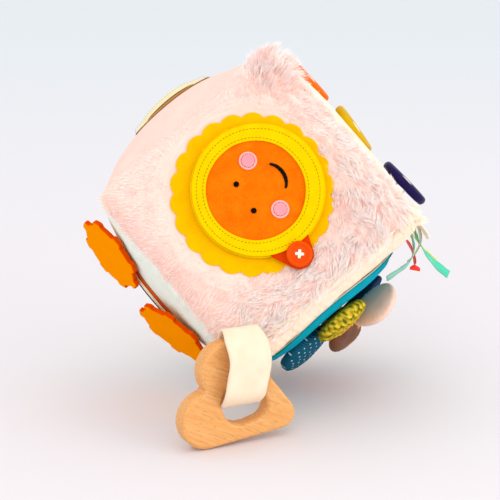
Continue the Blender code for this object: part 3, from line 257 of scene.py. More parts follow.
# The filling: loose polyester fibre pressed into the cover, which gives the block its crowned form.
# It is off-white and matt, and only shows where the cover is opened.

FILLING_LINES = 25


def fibre_filling():
    """Carded polyester: a soft white mass with faint clouds of denser fibre, 6 mm across."""
    material, tree, shader = new_material("polyester_fibre", 0.95, sheen=0.3)
    cloud = noise(tree, add(tree, "TexCoord", {}).outputs["Object"], 0.006, 6.0)
    dress(tree, shader, blend(tree, cloud, "#EDEDE8", "#FBFBF8"), cloud, 0.5, 0.001)
    return material


lines = np.linspace(-HALF, HALF, FILLING_LINES)
along, across = np.meshgrid(lines, lines, indexing="ij")
sides = (FRONT, BACK, FLOWER, POCKET, BUTTON, GEAR)
filling_points = [cover_points(side, along, across, -COVER_THICKNESS - SOFT_GAP) for side in sides]
filling_faces = [grid_quads(FILLING_LINES, FILLING_LINES, k * along.size) for k in range(len(sides))]
filling_places = placed(np.stack(filling_points), block)
filling_places[..., 2] = np.maximum(filling_places[..., 2], 0.0015)
filling = new_piece(
    "fibre_filling", filling_places, filling_faces, fibre_filling(), "block",
    weld=True,
)
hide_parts("stuffing_core")


# The cover's six squares: plush on the front and plain-woven cotton on the others, cut 150 mm square,
# sewn right sides together, turned and stuffed. The seams pucker where the filling pulls at them.

COVER_LINES = 121
PUCKER_HEIGHT = 0.0009
PUCKER_PITCH = 0.0075
PUCKER_REACH = 0.010
CREASE_HEIGHT = 0.0010
CREASE_SIZE = 0.030
SCALLOP_RADIUS = 0.0525
SUN_ALONG = -0.010
SUN_ACROSS = 0.0024
NAP_THICKNESS = 0.003
NAP_RELIEF = 0.0013
NAP_LINES = 211
COTTON_THREAD = 0.0011


def cotton(name, colour, shade):
    """Plain-woven cotton: matt, crossed threads, with slubs that turn the colour a little to the shade.

    Real threads lie about 0.4 mm apart, too fine to show here, so they are drawn 1.1 mm apart.
    """
    material, tree, shader = new_material(name, 0.9, specular=0.08)
    cloth = add(tree, "TexCoord", {}).outputs["UV"]
    uneven = {"Distortion": 0.6, "Detail": 1.0, "Detail Scale": 0.4}
    warp = wave(tree, cloth, COTTON_THREAD, "X", **uneven)
    weft = wave(tree, cloth, COTTON_THREAD, "Y", **uneven)
    weave = add(tree, "Math", {0: warp, 1: weft}, operation="MULTIPLY").outputs["Value"]
    level = ranged(tree, times_plus(tree, weave, 0.6, noise(tree, cloth, 0.011, 5.0)), 0.25, 1.2)
    dress(tree, shader, blend(tree, level, shade, colour), weave, 0.35, 0.0003)
    return material


def plush_nap():
    """Lower, felted half of the plush's pile: pale pink crests and deeper pink combed grooves.
    The deeper pink is partly the pinker fibre roots and partly painted shade in the grooves.

    The tint holds the place round the sun (red, green), the distance from it (blue) and the height of
    the combed relief (alpha), so that streaks 1.3 mm wide follow the way the pile is combed.
    """
    material, tree, shader = new_material("plush_nap", 0.95, specular=0.05)
    tint = add(tree, "Attribute", {}, attribute_name="tint")
    flow = add(tree, "Mapping", {"Vector": tint.outputs["Color"], "Scale": (9.0, 9.0, 0.11 / 0.0013)})
    streak = noise(tree, flow.outputs["Vector"], 1.0, 3.0)
    height = times_plus(tree, streak, 0.5, tint.outputs["Alpha"])
    # Painted shade: the lower the combed relief, the deeper the pink, as shade in the grooves.
    tone = add(tree, "ValToRGB", {"Fac": height})
    ramp = tone.color_ramp
    ramp.elements[0].position = 0.2
    ramp.elements[0].color = linear("#F3AFA4")
    ramp.elements[1].position = 1.0
    ramp.elements[1].color = linear("#FFE4D8")
    middle = ramp.elements.new(0.55)
    middle.color = linear("#FACCBE")
    dress(tree, shader, tone.outputs["Color"], height, 0.5, 0.0006)
    return material


def pucker_lift(along, across, seed):
    """Seam puckers and soft creases: ripples along each seam that die out within 10 mm of it."""
    to_edge = np.stack([HALF - along, HALF + along, HALF - across, HALF + across])
    run = np.stack([across, across, along, along])
    total = np.zeros(along.shape)
    for k in range(4):
        jitter = waves(run[k][..., None], 0.035, seed + k)
        ripple = np.sin(2 * math.pi * run[k] / PUCKER_PITCH + 1.6 * jitter) * (0.6 + 0.4 * jitter)
        ends = 1 - np.abs(run[k] / HALF) ** 8
        fade = np.exp(-to_edge[k] / PUCKER_REACH) * (1 - np.exp(-to_edge[k] / 0.0012))
        total += PUCKER_HEIGHT * ripple * fade * ends
    nearest = to_edge.min(axis=0)
    crease = waves(np.stack([along, across], -1), CREASE_SIZE, seed + 9)
    band = np.exp(-((nearest - 0.012) / 0.008) ** 2)
    return total + CREASE_HEIGHT * (crease - 0.6) * band


def smooth_step(value, low, high):
    """Cubic step from 0 below low to 1 above high."""
    t = np.clip((value - low) / (high - low), 0, 1)
    return t * t * (3 - 2 * t)


def combed_share(along, across):
    """How far the pile is combed into locks: not at all on the left, fully at the right and below."""
    rightward = (along * math.cos(ROLL) + across * math.sin(ROLL)) / HALF
    downward = (along * math.sin(ROLL) - across * math.cos(ROLL)) / HALF
    return smooth_step(rightward + 0.35 * downward, -0.35, 0.5)


def nap_relief(along, across):
    """Combed relief, 0 to 1: waves 3.4 mm apart across the combing and some 20 mm long beside the sun."""
    x, y = along - SUN_ALONG, across - SUN_ACROSS
    reach = np.hypot(x, y) + 1e-6
    sway = 0.0030 * waves(np.stack([along, across], -1), 0.03, 40)
    flow = np.stack([2.6 * x / reach, 2.6 * y / reach, (reach + sway) / 0.0034], -1)
    return np.clip(0.5 + 0.35 * waves(flow, 1.0, 41), 0, 1)


def nap_lift(along, across):
    """Thickness of the plush's felted nap: 3 mm and its relief, thinned towards the seams and sun."""
    from_sun = np.hypot(along - SUN_ALONG, across - SUN_ACROSS)
    to_edge = HALF - np.maximum(np.abs(along), np.abs(across))
    outside = smooth_step(from_sun, SCALLOP_RADIUS - 0.002, SCALLOP_RADIUS + 0.009)
    outside = outside * (0.3 + 0.7 * smooth_step(to_edge, 0, 0.012))
    relief = NAP_RELIEF * nap_relief(along, across) * combed_share(along, across)
    return outside * (NAP_THICKNESS + relief)


def nap_tint(along, across):
    """Place round the sun, distance from it, and relief, each from 0 to 1."""
    x, y = along - SUN_ALONG, across - SUN_ACROSS
    reach = np.hypot(x, y) + 1e-6
    combed = combed_share(along, across)
    # This relief also sets the painted shade of the nap's grooves.
    height = (0.22 + 0.75 * nap_relief(along, across)) * combed + 0.44 * (1 - combed)
    return np.stack([0.5 + 0.5 * x / reach, 0.5 + 0.5 * y / reach, reach / 0.11, height], -1)


def panel_bulge(side, along, across):
    """Extra swell of the pocket's side under its mouth: a Gaussian bump 3.2 mm high."""
    if side is not POCKET:
        return 0.0 * along
    return 0.0032 * np.exp(-((along - 0.018) / 0.036) ** 2 - ((across - 0.004) / 0.040) ** 2)


def cover_square(side, node, material, seed, ripples=1.0):
    """One square of the cover: a closed sheet between two crowned grids, puckered along its seams."""
    count = NAP_LINES if side is FRONT else COVER_LINES
    turn = np.linspace(-math.pi / 2, math.pi / 2, count)
    lines = HALF * np.sin(turn * 0.999) / math.sin(math.pi / 2 * 0.999)
    along, across = np.meshgrid(lines, lines, indexing="ij")
    lift = ripples * pucker_lift(along, across, seed)
    nap = nap_lift(along, across) if side is FRONT else panel_bulge(side, along, across)
    top = cover_points(side, along, across, nap) + np.minimum(lift, 0.0004)[..., None] * side.out
    bottom = cover_points(side, along, across, -COVER_THICKNESS)
    uv = np.stack([along, across], -1)
    places = placed(np.stack([top, bottom]), block)
    places[0, ..., 2] = np.maximum(places[0, ..., 2], 0.0002)
    places[1, ..., 2] = np.maximum(places[1, ..., 2], 0.0008)
    piece = new_piece(
        side.name + "_square", places, [sheet_quads(count, count)], material, "block",
        uv=np.stack([uv, uv]), tint=np.stack([nap_tint(along, across)] * 2) if side is FRONT else None,
    )
    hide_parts(node)
    return piece


mint_cotton = cotton("mint_cotton", "#F4F9F0", "#E6F0E2")
cream_cotton = cotton("cream_cotton", "#F6EAD2", "#EDDDBE")
cover_square(FRONT, "plush_front_panel", plush_nap(), 11, ripples=0.0)
cover_square(GEAR, "gear_side_panel", mint_cotton, 21)
blush_cotton = cotton("blush_cream_cotton", "#F8D9CC", "#F3CDBE")
cover_square(POCKET, "pocket_side_panel", blush_cotton, 31)
cover_square(BUTTON, "button_side_panel", cream_cotton, 41)
cover_square(FLOWER, "flower_side_panel", cream_cotton, 51)
cover_square(BACK, "back_panel", cream_cotton, 61)


# The plush's pile: soft polyester hair 6 to 10 mm long that stands in locks. It lies smooth on the
# left and breaks into combed locks on the right, and stands up in a tuft at the top corner.

LOCK_PITCH = 0.0040
HAIRS_IN_LOCK = 44
HAIR_RADIUS = 0.00015
HAIR_RINGS = 3
HAIR_SIDES = 3
HAIRS_IN_PIECE = 10800
PILE_LENGTH = 0.0065
TUFT_LENGTH = 0.0060
TUFT_REACH = 0.024
MARGIN_WIDTH = 0.0085
MARGIN_SIDE_MOST = 0.020
MARGIN_FELT_RADIUS = 0.060
MARGIN_FELT_SHIFT = 0.003
MARGIN_FELT_GAP = 0.0045


def plush_hair():
    """Polyester pile: almost white tips over a pink root, each hair and lock a little apart."""
    material, tree, shader = new_material("plush_pile", 0.8, specular=0.05)
    tint = add(tree, "Attribute", {}, attribute_name="tint")
    parts = add(tree, "SeparateColor", {"Color": tint.outputs["Color"]})
    # Painted shade: the ramp deepens to pink towards the root, where the hairs lie in the pile's shade; the
    # pink is partly the fibre's own.
    root_to_tip = add(tree, "ValToRGB", {"Fac": parts.outputs["Red"]})
    ramp = root_to_tip.color_ramp
    ramp.elements[0].color = linear("#FEE2D8")
    ramp.elements[1].color = linear("#FFF8F2")
    ramp.elements[1].position = 0.7
    middle = ramp.elements.new(0.3)
    middle.color = linear("#FFE9E0")
    lock = blend(tree, parts.outputs["Green"], root_to_tip.outputs["Color"], "#FBCFC4")
    cream = blend(tree, parts.outputs["Blue"], lock, "#FFF4DC")
    tree.links.new(cream, shader.inputs["Base Color"])
    return material


def pod_faces(count, rings, sides):
    """Triangles of many closed pods, each with a pole, rings of points and a second pole."""
    ring = np.arange(rings * sides).reshape(rings, sides) + 1
    ahead = np.roll(ring, -1, axis=1)
    last = rings * sides + 1
    start_cap = np.stack([np.zeros(sides, int), ahead[0], ring[0]], -1)
    end_cap = np.stack([np.full(sides, last), ring[-1], ahead[-1]], -1)
    lower, upper = ring[:-1], ring[1:]
    next_lower, next_upper = ahead[:-1], ahead[1:]
    wall = np.concatenate([
        np.stack([lower, next_lower, next_upper], -1).reshape(-1, 3),
        np.stack([lower, next_upper, upper], -1).reshape(-1, 3),
    ])
    faces = np.concatenate([start_cap, wall, end_cap])
    return (faces[None] + (np.arange(count) * (last + 1))[:, None, None]).reshape(-1, 3)


def hair_points(roots, rises, tips, radius, outward):
    """Hairs as tapered pods on quadratic Bezier curves from root, past the rise point, to the tip.

    Each has three sides and its flat side faces outward, where it catches the light.
    """
    steps = np.array([0.12, 0.5, 0.82])[:HAIR_RINGS]
    heading = tips - roots
    heading /= np.linalg.norm(heading, axis=1)[:, None]
    side_a = np.cross(outward, heading)
    side_a /= np.linalg.norm(side_a, axis=1)[:, None]
    side_b = np.cross(heading, side_a)
    turn = (np.arange(HAIR_SIDES) + 0.25) * 2 * math.pi / HAIR_SIDES
    rings = []
    for s in steps:
        middle = (1 - s) ** 2 * roots + 2 * s * (1 - s) * rises + s ** 2 * tips
        width = radius * (1 - s) ** 0.45
        ring = middle[:, None] + width[:, None, None] * (
            np.cos(turn)[None, :, None] * side_a[:, None] + np.sin(turn)[None, :, None] * side_b[:, None]
        )
        rings.append(ring)
    return np.concatenate([roots[:, None]] + rings + [tips[:, None]], axis=1)


def nap_frames(along, across):
    """Point on the plush's nap, its outward normal and its two unit tangents."""
    step = 0.0004
    here = cover_points(FRONT, along, across, nap_lift(along, across))
    run = cover_points(FRONT, along + step, across) - cover_points(FRONT, along - step, across)
    rise = cover_points(FRONT, along, across + step) - cover_points(FRONT, along, across - step)
    normal = np.cross(run, rise)
    normal /= np.linalg.norm(normal, axis=-1)[..., None]
    run /= np.linalg.norm(run, axis=-1)[..., None]
    return here, normal, run, np.cross(normal, run)


def make_pile():
    """Locks on a jittered grid over the front, each a bundle of hairs combed over the nap.

    A lock's heading is away from the sun on the left and clockwise round it on the right, turned by
    smooth waves. Hairs close towards their lock's middle, and rise less where the pile is smooth.
    """
    rng = np.random.default_rng(7)
    lines = np.arange(-HALF + LOCK_PITCH / 4, HALF, LOCK_PITCH)
    along, across = (grid.ravel() for grid in np.meshgrid(lines, lines, indexing="ij"))
    along = np.clip(along + rng.uniform(-0.5, 0.5, along.size) * LOCK_PITCH, -HALF, HALF)
    across = np.clip(across + rng.uniform(-0.5, 0.5, across.size) * LOCK_PITCH, -HALF, HALF)
    from_sun = np.hypot(along - SUN_ALONG, across - SUN_ACROSS)
    keep = from_sun > SCALLOP_RADIUS - 0.001
    along, across, from_sun = along[keep], across[keep], from_sun[keep]
    places = np.stack([along, across], -1)

    here, normal, run, rise = nap_frames(along, across)
    combed = combed_share(along, across)
    radial = np.stack([along - SUN_ALONG, across - SUN_ACROSS], -1) / from_sun[:, None]
    tangent = np.stack([radial[:, 1], -radial[:, 0]], -1)
    heading = (1.0 - 0.6 * combed)[:, None] * radial + (0.25 + 0.75 * combed)[:, None] * tangent
    flower_edge = smooth_step(along, HALF - 0.014, HALF - 0.003)
    heading = heading * (1 - flower_edge)[:, None] + flower_edge[:, None] * np.array([0.15, -1.0])
    button_edge = smooth_step(across, HALF - 0.012, HALF - 0.002)
    heading = heading * (1 - button_edge)[:, None] + button_edge[:, None] * np.array([0.15, 1.0])
    pocket_edge = smooth_step(-along, HALF - 0.012, HALF - 0.002)
    turn = (0.22 + 0.40 * combed) * waves(places, 0.016, 3) + 0.25 * waves(places, 0.05, 4)
    turn += rng.normal(scale=0.14, size=turn.shape) * (0.4 + combed)
    tuft = np.exp(-(np.hypot(along + HALF - 0.004, across - HALF + 0.004) / TUFT_REACH) ** 4)
    turn -= 22 * tuft * (along + across)
    heading = np.stack([
        heading[:, 0] * np.cos(turn) - heading[:, 1] * np.sin(turn),
        heading[:, 0] * np.sin(turn) + heading[:, 1] * np.cos(turn),
    ], -1)
    heading /= np.linalg.norm(heading, axis=1)[:, None]

    right_corner = np.exp(-(np.hypot(along - HALF, across - HALF) / 0.014) ** 2)
    left_corner = np.exp(-(np.hypot(along + HALF, across + HALF) / 0.013) ** 2)
    beside_felt = smooth_step(from_sun, SCALLOP_RADIUS - 0.002, SCALLOP_RADIUS + 0.009)
    length = PILE_LENGTH * (0.40 + 0.60 * beside_felt) * rng.uniform(0.85, 1.15, along.size)
    length = length * (0.75 + 0.40 * combed) * (1 - 0.55 * flower_edge)
    length = length + TUFT_LENGTH * tuft + 0.0045 * right_corner + 0.0022 * button_edge * (1 - tuft)
    upright = 0.18 + 0.18 * combed * rng.uniform(0, 1.6, along.size) + 0.6 * tuft + 0.3 * right_corner
    upright = upright * (1 - 0.8 * np.maximum(button_edge * (1 - tuft), pocket_edge * (1 - tuft)))
    way = upright[:, None] * normal + heading[:, :1] * run + heading[:, 1:] * rise
    way /= np.linalg.norm(way, axis=1)[:, None]
    lock_tip = way * length[:, None]
    closing = 0.05 + 0.36 * combed

    shape = (along.size, HAIRS_IN_LOCK)
    reach = LOCK_PITCH * 0.85 * np.sqrt(rng.uniform(0, 1, shape))
    angle = rng.uniform(0, 2 * math.pi, shape)
    hair_along = np.clip(along[:, None] + reach * np.cos(angle), -HALF, HALF)
    hair_across = np.clip(across[:, None] + reach * np.sin(angle), -HALF, HALF)
    roots, hair_normal, _, _ = nap_frames(hair_along, hair_across)
    offset = roots - here[:, None]
    long_share = rng.uniform(0.65, 1.08, shape)
    stray = rng.normal(scale=0.07, size=(*shape, 3)) * length[:, None, None]
    tips = roots - offset * closing[:, None, None] + lock_tip[:, None] * long_share[..., None] + stray
    lift = (0.30 + 0.12 * combed) * length
    rises = roots + hair_normal * lift[:, None, None] + 0.35 * (tips - roots)
    roots = roots - 0.0005 * hair_normal

    hair_from_sun = np.hypot(hair_along - SUN_ALONG, hair_across - SUN_ACROSS)
    bare = hair_from_sun < SCALLOP_RADIUS + 0.0012 - 0.0030 * combed[:, None]
    bare |= rng.uniform(0, 1, shape) > (0.22 + 0.43 * combed + tuft)[:, None]
    bare |= rng.uniform(0, 1, shape) < (0.7 * pocket_edge * (1 - tuft))[:, None]
    bare |= hair_along > HALF - MARGIN_WIDTH * (1 - right_corner)[:, None]
    radius = HAIR_RADIUS * rng.uniform(0.75, 1.3, shape)
    points = hair_points(
        roots.reshape(-1, 3), rises.reshape(-1, 3), tips.reshape(-1, 3), radius.ravel(),
        hair_normal.reshape(-1, 3),
    )
    height = np.array([0.0] + [0.12] * HAIR_SIDES + [0.5] * HAIR_SIDES + [0.82] * HAIR_SIDES + [1.0])
    lock_shade = np.clip(rng.normal(0.16, 0.18, along.size) * (1.5 - 0.8 * combed), 0, 1)
    blush = np.clip(waves(places, 0.06, 12) - 0.2, 0, 1) * 0.35
    shade = np.clip(lock_shade[:, None] + blush[:, None] + rng.uniform(-0.1, 0.1, shape), 0, 1)
    flower_rim = smooth_step(hair_along, HALF - 0.016, HALF - 0.006)
    cream = np.clip(0.9 * (right_corner + left_corner)[:, None] + flower_rim, 0, 1)
    tint = np.ones((*shape, len(height), 4), np.float32)
    tint[..., 0] = height
    tint[..., 1] = shade[..., None]
    tint[..., 2] = cream[..., None]
    keep = ~bare.ravel()
    return placed(points[keep], block), tint.reshape(-1, len(height), 4)[keep]


plush_pile = plush_hair()
pile_points, pile_tint = make_pile()
order = np.random.default_rng(8).permutation(len(pile_points))
for part, start in enumerate(range(0, len(order), HAIRS_IN_PIECE)):
    chosen = order[start:start + HAIRS_IN_PIECE]
    pile = new_piece(
        "plush_pile_%d" % (part + 1), pile_points[chosen],
        [pod_faces(len(chosen), HAIR_RINGS, HAIR_SIDES)], plush_pile, "block",
        tint=pile_tint[chosen],
    )
    pile.data.shade_flat()


def seam_margin():
    """Cream fleece binding: a soft roll wrapped round the seam, 8.5 mm of it on the front.

    On the flower side it reaches the teal felt's rim, an arc of a circle, or 20 mm at most. Its section
    is a flattened sine arch that swells and narrows along the seam in slow waves.
    """
    material, tree, shader = new_material("cream_fleece", 0.95, specular=0.05)
    curl = noise(tree, add(tree, "TexCoord", {}).outputs["Object"], 0.0018, 4.0)
    dress(tree, shader, blend(tree, curl, "#EFDABE", "#F8E8D2"), curl, 0.7, 0.0007)
    run = np.linspace(-HALF * 0.99, HALF * 0.99, 260)[:, None]
    share = np.linspace(0, 1, 21)[None]
    slow = waves(np.stack([run, 0 * run], -1), 0.028, 60)
    fine = waves(np.stack([run * np.ones_like(share), 0.03 * share * np.ones_like(run)], -1), 0.005, 61)
    ends = smooth_step(HALF - np.abs(run), 0, 0.010)
    width = MARGIN_WIDTH * (1.05 + 0.16 * slow) * ends
    chord = np.sqrt(np.clip(MARGIN_FELT_RADIUS ** 2 - (run + MARGIN_FELT_SHIFT) ** 2, 0, None))
    side_width = np.minimum(HALF - MARGIN_FELT_GAP - chord, MARGIN_SIDE_MOST) * ends
    across = run * np.ones_like(share)
    puff = (0.0008 + 0.0014 * ends) * (1 + 0.2 * slow) * np.sin(math.pi * share) ** 0.7
    sheets = []
    for lift in (0.0002 + puff + 0.0003 * fine * np.sin(math.pi * share), 0.0001 + 0 * puff):
        on_front = cover_points(FRONT, HALF - width * (1 - 2 * share), across, lift)
        on_side = cover_points(FLOWER, side_width * (2 * share - 1) - HALF, across, lift)
        sheets.append(np.where(share[..., None] <= 0.5, on_front, on_side))
    return new_piece(
        "seam_margin_fleece", placed(np.stack(sheets), block), [sheet_quads(260, 21)], material, "block",
        weld=True,
    )


seam_margin()


# The sun's base: wool-blend felt with 22 pinked scallops, machine-sewn flat on the plush, with a disc
# of mirror film sewn to it and one soft dot of loop tape beside the film.

FELT = 0.0012
SCALLOP_COUNT = 22
SCALLOP_DEPTH = 0.003
SCALLOP_ROUND_POWER = 0.8
FLAP_SHIFT_ALONG = 0.0006
FLAP_SHIFT_ACROSS = 0.0041
DOT_THICKNESS = 0.0006
DOT_RADIUS = 0.0065
DOT_REACH = 0.034


def crown_frame(side, along, across, lift=0.0):
    """Frame that touches the crown at one point: X along the side, Z straight out of it."""
    step = 0.0003
    places = np.array([(along, across), (along + step, across), (along - step, across),
                       (along, across + step), (along, across - step)])
    here, right, left, up, down = cover_points(side, places[:, 0], places[:, 1], lift)
    return frame_matrix(here, right - left, np.cross(right - left, up - down))


def frame_matrix(place, x_axis, z_axis):
    """Placement matrix with Z along z_axis and X as near x_axis as it can be."""
    z = Vector(z_axis).normalized()
    x = Vector(x_axis)
    x = (x - z * x.dot(z)).normalized()
    rotation = Matrix((x, z.cross(x), z)).transposed()
    return Matrix.Translation(Vector(place)) @ rotation.to_4x4()


FELT_CLOUD = 0.009


def felt(name, colour, shade):
    """Pressed wool-blend felt: matt, with short tangled fibres that fleck the colour.

    The flecks are 0.8 mm long, a little coarser than real fibres so that they show.
    """
    material, tree, shader = new_material(name, 0.95, specular=0.03)
    place = add(tree, "TexCoord", {}).outputs["Object"]
    fleck = noise(tree, place, 0.0008, 4.0, Roughness=0.65, Distortion=1.5)
    level = ranged(tree, times_plus(tree, noise(tree, place, FELT_CLOUD), 0.5, fleck), 0.5, 1.0)
    dress(tree, shader, blend(tree, level, shade, colour), fleck, 0.4, 0.0003)
    return material


def scallop_outline(count):
    """Circle whose radius swells by a rounded sine over each scallop."""
    turn = np.linspace(0, 2 * math.pi, count, endpoint=False)
    swell = np.abs(np.sin(turn * SCALLOP_COUNT / 2)) ** SCALLOP_ROUND_POWER
    radius = SCALLOP_RADIUS - SCALLOP_DEPTH * (1 - swell)
    return np.stack([radius * np.cos(turn), radius * np.sin(turn)], -1)


def circle(radius, count, centre=(0.0, 0.0)):
    """Points of a circle, an even angle apart."""
    turn = np.linspace(0, 2 * math.pi, count, endpoint=False)
    return np.stack([centre[0] + radius * np.cos(turn), centre[1] + radius * np.sin(turn)], -1)


def cut_layer(name, outer, inner, low, high, place, material, body, wobble=0.00006, seed=1):
    """Closed flat layer between an inner and an outer outline, with soft rounded edges.

    Its profile runs over the top from the inner outline to the outer one, round the outer edge by a
    half ellipse, and back underneath. An inner outline drawn in to a point makes a whole disc.
    """
    half = (high - low) / 2
    share = np.linspace(0, 1, 25)
    bend = np.linspace(0, math.pi, 9)[1:-1]
    out = outer - inner
    width = np.linalg.norm(out, axis=1).mean()
    bulge = 0.7 * half
    last = 1 - bulge / width
    first = bulge / width if np.ptp(inner, axis=0).max() > 0 else 0.0
    profile = [(first + (last - first) * s, 1.0) for s in share]
    profile += [(last + bulge / width * math.sin(b), math.cos(b)) for b in bend]
    profile += [(first + (last - first) * s, -1.0) for s in share[::-1]]
    if first:
        profile += [(first - bulge / width * math.sin(b), -math.cos(b)) for b in bend]
    profile = np.array(profile)
    flat = inner[None] + profile[:, 0, None, None] * out[None]
    height = (low + high) / 2 + half * profile[:, 1]
    rough = wobble * waves(flat, 0.006, seed) * np.maximum(profile[:, 1], 0)[:, None]
    points = np.concatenate([flat, (height[:, None] + rough)[..., None]], -1)
    if first:
        points = np.concatenate([points, points[:1]])
    points = np.concatenate([points, points[:, :1]], axis=1)
    rows, columns = points.shape[:2]
    return new_piece(
        name, placed(points.reshape(-1, 3), place), [grid_quads(rows, columns)], material, body,
        weld=True,
    )


def point_outline(count, centre=(0.0, 0.0)):
    """An outline shrunk to one place, for a layer that has no hole."""
    return np.tile(np.array(centre, float), (count, 1))


sun = block @ crown_frame(FRONT, SUN_ALONG, SUN_ACROSS)
flap = sun @ Matrix.Translation((FLAP_SHIFT_ALONG, FLAP_SHIFT_ACROSS, 0))
base_low, base_high = SEAT_GAP, SEAT_GAP + FELT
loop_low = base_high + SEAT_GAP
loop_high = loop_low + DOT_THICKNESS
scallop_felt = felt("sun_yellow_felt", "#FBC200", "#F0AC00")
sun_base = cut_layer(
    "sun_base_felt", scallop_outline(440), point_outline(440), base_low, base_high, sun, scallop_felt,
    "block",
)
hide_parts("sun_scallop_base")


def mirror_film():
    """Metallised polyester film: a bright mirror with the faint ripple of a film on soft ground."""
    material, tree, shader = new_material("mirror_film", 0.06)
    shader.inputs["Metallic"].default_value = 1.0
    ripple = noise(tree, add(tree, "TexCoord", {}).outputs["Object"], 0.018)
    dress(tree, shader, blend(tree, ripple, "#E4E6EA", "#ECEEF2"), ripple, 0.2, 0.0004)
    return material


frame["nodes"]["peek_mirror"].material_slots[0].material = mirror_film()


def fastening_tape(name, colour, shade):
    """Nylon hook-and-loop tape: a dense nap of loops about 0.7 mm across, with a soft shine."""
    material, tree, shader = new_material(name, 0.7, sheen=0.2)
    place = add(tree, "TexCoord", {}).outputs["Object"]
    loops = add(tree, "TexVoronoi", {"Vector": place, "Scale": 1 / 0.0007}).outputs["Distance"]
    dress(tree, shader, blend(tree, loops, colour, shade), loops, 0.8, 0.0004)
    return material


dot_tape = fastening_tape("fastening_tape", "#F5EDDD", "#D8CBB2")
dot_outline = circle(DOT_RADIUS, 64, (DOT_REACH, 0))
dot_middle = point_outline(64, (DOT_REACH, 0))
loop_dot = cut_layer(
    "loop_tape_dot", dot_outline, dot_middle, loop_low, loop_high, flap, dot_tape, "block"
)
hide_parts("loop_dot")


# The sun's flap: three layers of the same felt, sewn together with a fine dark thread 3 mm inside the
# edge and beside the orange face. It is tacked down along its left edge and lifts from the right.

FLAP_RADIUS = 0.043
FLAP_RING_RADIUS = 0.042
FLAP_RING_HOLE = 0.0315
FACE_RADIUS = 0.034
FACE_SHIFT_ALONG = -0.0007
FACE_SHIFT_ACROSS = -0.0013
HINGE_TAPE_LENGTH = 0.022
HINGE_TAPE_WIDTH = 0.006
THREAD_RADIUS = 0.00013
STITCH_PITCH = 0.0023
STITCH_LENGTH = 0.0016

hook_low = loop_high + SEAT_GAP
hook_high = hook_low + DOT_THICKNESS
back_low = hook_high + SEAT_GAP
back_high = back_low + FELT
face_low = back_high + SEAT_GAP
face_high = face_low + FELT
flap_ring_low = face_high + SEAT_GAP
flap_ring_high = flap_ring_low + FELT


def sewing_thread(name, colour, shade):
    """Twisted polyester thread: a low shine, with the twist as fine slanting bands 0.5 mm apart."""
    material, tree, shader = new_material(name, 0.7, specular=0.1)
    twist = wave(tree, add(tree, "TexCoord", {}).outputs["Object"], 0.0005, "DIAGONAL")
    dress(tree, shader, blend(tree, twist, shade, colour), twist, 0.4, 0.0001)
    return material


def thread_pods(name, starts, ends, up, radius, material, body, rise=0.6, rings=5, sides=6):
    """Stitches from starts to ends: arched pods whose height is a sine and whose ends taper."""
    starts, ends, up = (np.broadcast_to(np.asarray(a, float), np.shape(starts)) for a in (starts, ends, up))
    steps = np.linspace(0, 1, rings + 2)[1:-1]
    heading = ends - starts
    heading = heading / np.linalg.norm(heading, axis=1)[:, None]
    sideways = np.cross(up, heading)
    sideways /= np.linalg.norm(sideways, axis=1)[:, None]
    lifted = np.cross(heading, sideways)
    turn = np.arange(sides) * 2 * math.pi / sides
    section = np.cos(turn)[None, :, None] * sideways[:, None] + np.sin(turn)[None, :, None] * lifted[:, None]
    loops = []
    for s in steps:
        middle = starts + s * (ends - starts) + rise * radius * math.sin(math.pi * s) * lifted
        width = radius * math.sin(math.pi * (0.16 + 0.68 * s)) ** 0.7
        loops.append(middle[:, None] + width * section)
    points = np.concatenate([starts[:, None]] + loops + [ends[:, None]], axis=1)
    return new_piece(name, points, [pod_faces(len(points), rings, sides)], material, body)


def stitch_row(name, path, up, material, body, pitch=STITCH_PITCH, length=STITCH_LENGTH,
               radius=THREAD_RADIUS):
    """Running stitches along a path of points: one stitch to a pitch, each as long as `length`."""
    path = np.asarray(path, float)
    walked = np.concatenate([[0.0], np.cumsum(np.linalg.norm(np.diff(path, axis=0), axis=1))])
    begin = np.arange(0, walked[-1] - length, pitch)
    at = [np.stack([np.interp(begin + shift, walked, path[:, k]) for k in range(3)], -1)
          for shift in (0.0, length)]
    lift = np.asarray(up, float) * radius * 0.4
    return thread_pods(name, at[0] + lift, at[1] + lift, up, radius, material, body)


flap_felt = felt("flap_yellow_felt", "#F8CE00", "#EEBC00")
face_felt = felt("face_orange_felt", "#FC8208", "#E25A00")
hook_dot = cut_layer(
    "hook_tape_dot", dot_outline, dot_middle, hook_low, hook_high, flap, dot_tape, "sun_flap"
)
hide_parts("hook_dot")
flap_back = cut_layer(
    "flap_back_felt", circle(FLAP_RADIUS, 240), point_outline(240), back_low, back_high, flap, flap_felt,
    "sun_flap", seed=2,
)
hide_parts("flap_back_disc")
face_shift = (FACE_SHIFT_ALONG, FACE_SHIFT_ACROSS)
face_disc = cut_layer(
    "face_felt", circle(FACE_RADIUS, 200, face_shift), point_outline(200, face_shift), face_low, face_high,
    flap, face_felt, "sun_flap", seed=3,
)
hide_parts("sun_face_disc")
turn = np.linspace(0, 2 * math.pi, 240, endpoint=False)
hole_wave = FLAP_RING_HOLE * (1 + 0.004 * np.sin(3 * turn + 1) + 0.003 * np.sin(7 * turn))
ring_hole = np.stack([hole_wave * np.cos(turn), hole_wave * np.sin(turn)], -1) + np.array(face_shift)
flap_ring = cut_layer(
    "flap_ring_felt", circle(FLAP_RING_RADIUS, 240), ring_hole, flap_ring_low, flap_ring_high, flap,
    flap_felt, "sun_flap", seed=4,
)
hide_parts("sun_ring")

dark_thread = sewing_thread("dark_sewing_thread", "#54400A", "#2C2104")
flap_up = flap.to_3x3() @ Vector((0, 0, 1))
for name, radius, middle in (
    ("flap_edge_stitches", FLAP_RING_RADIUS - 0.0030, (0.0, 0.0)),
    ("flap_face_stitches", FLAP_RING_HOLE + 0.0020, face_shift),
):
    loop = circle(radius, 300, middle)
    loop = np.concatenate([loop, loop[:1]])
    path = placed(np.column_stack([loop, np.full(len(loop), flap_ring_high)]), flap)
    stitch_row(name, path, flap_up, dark_thread, "sun_flap")

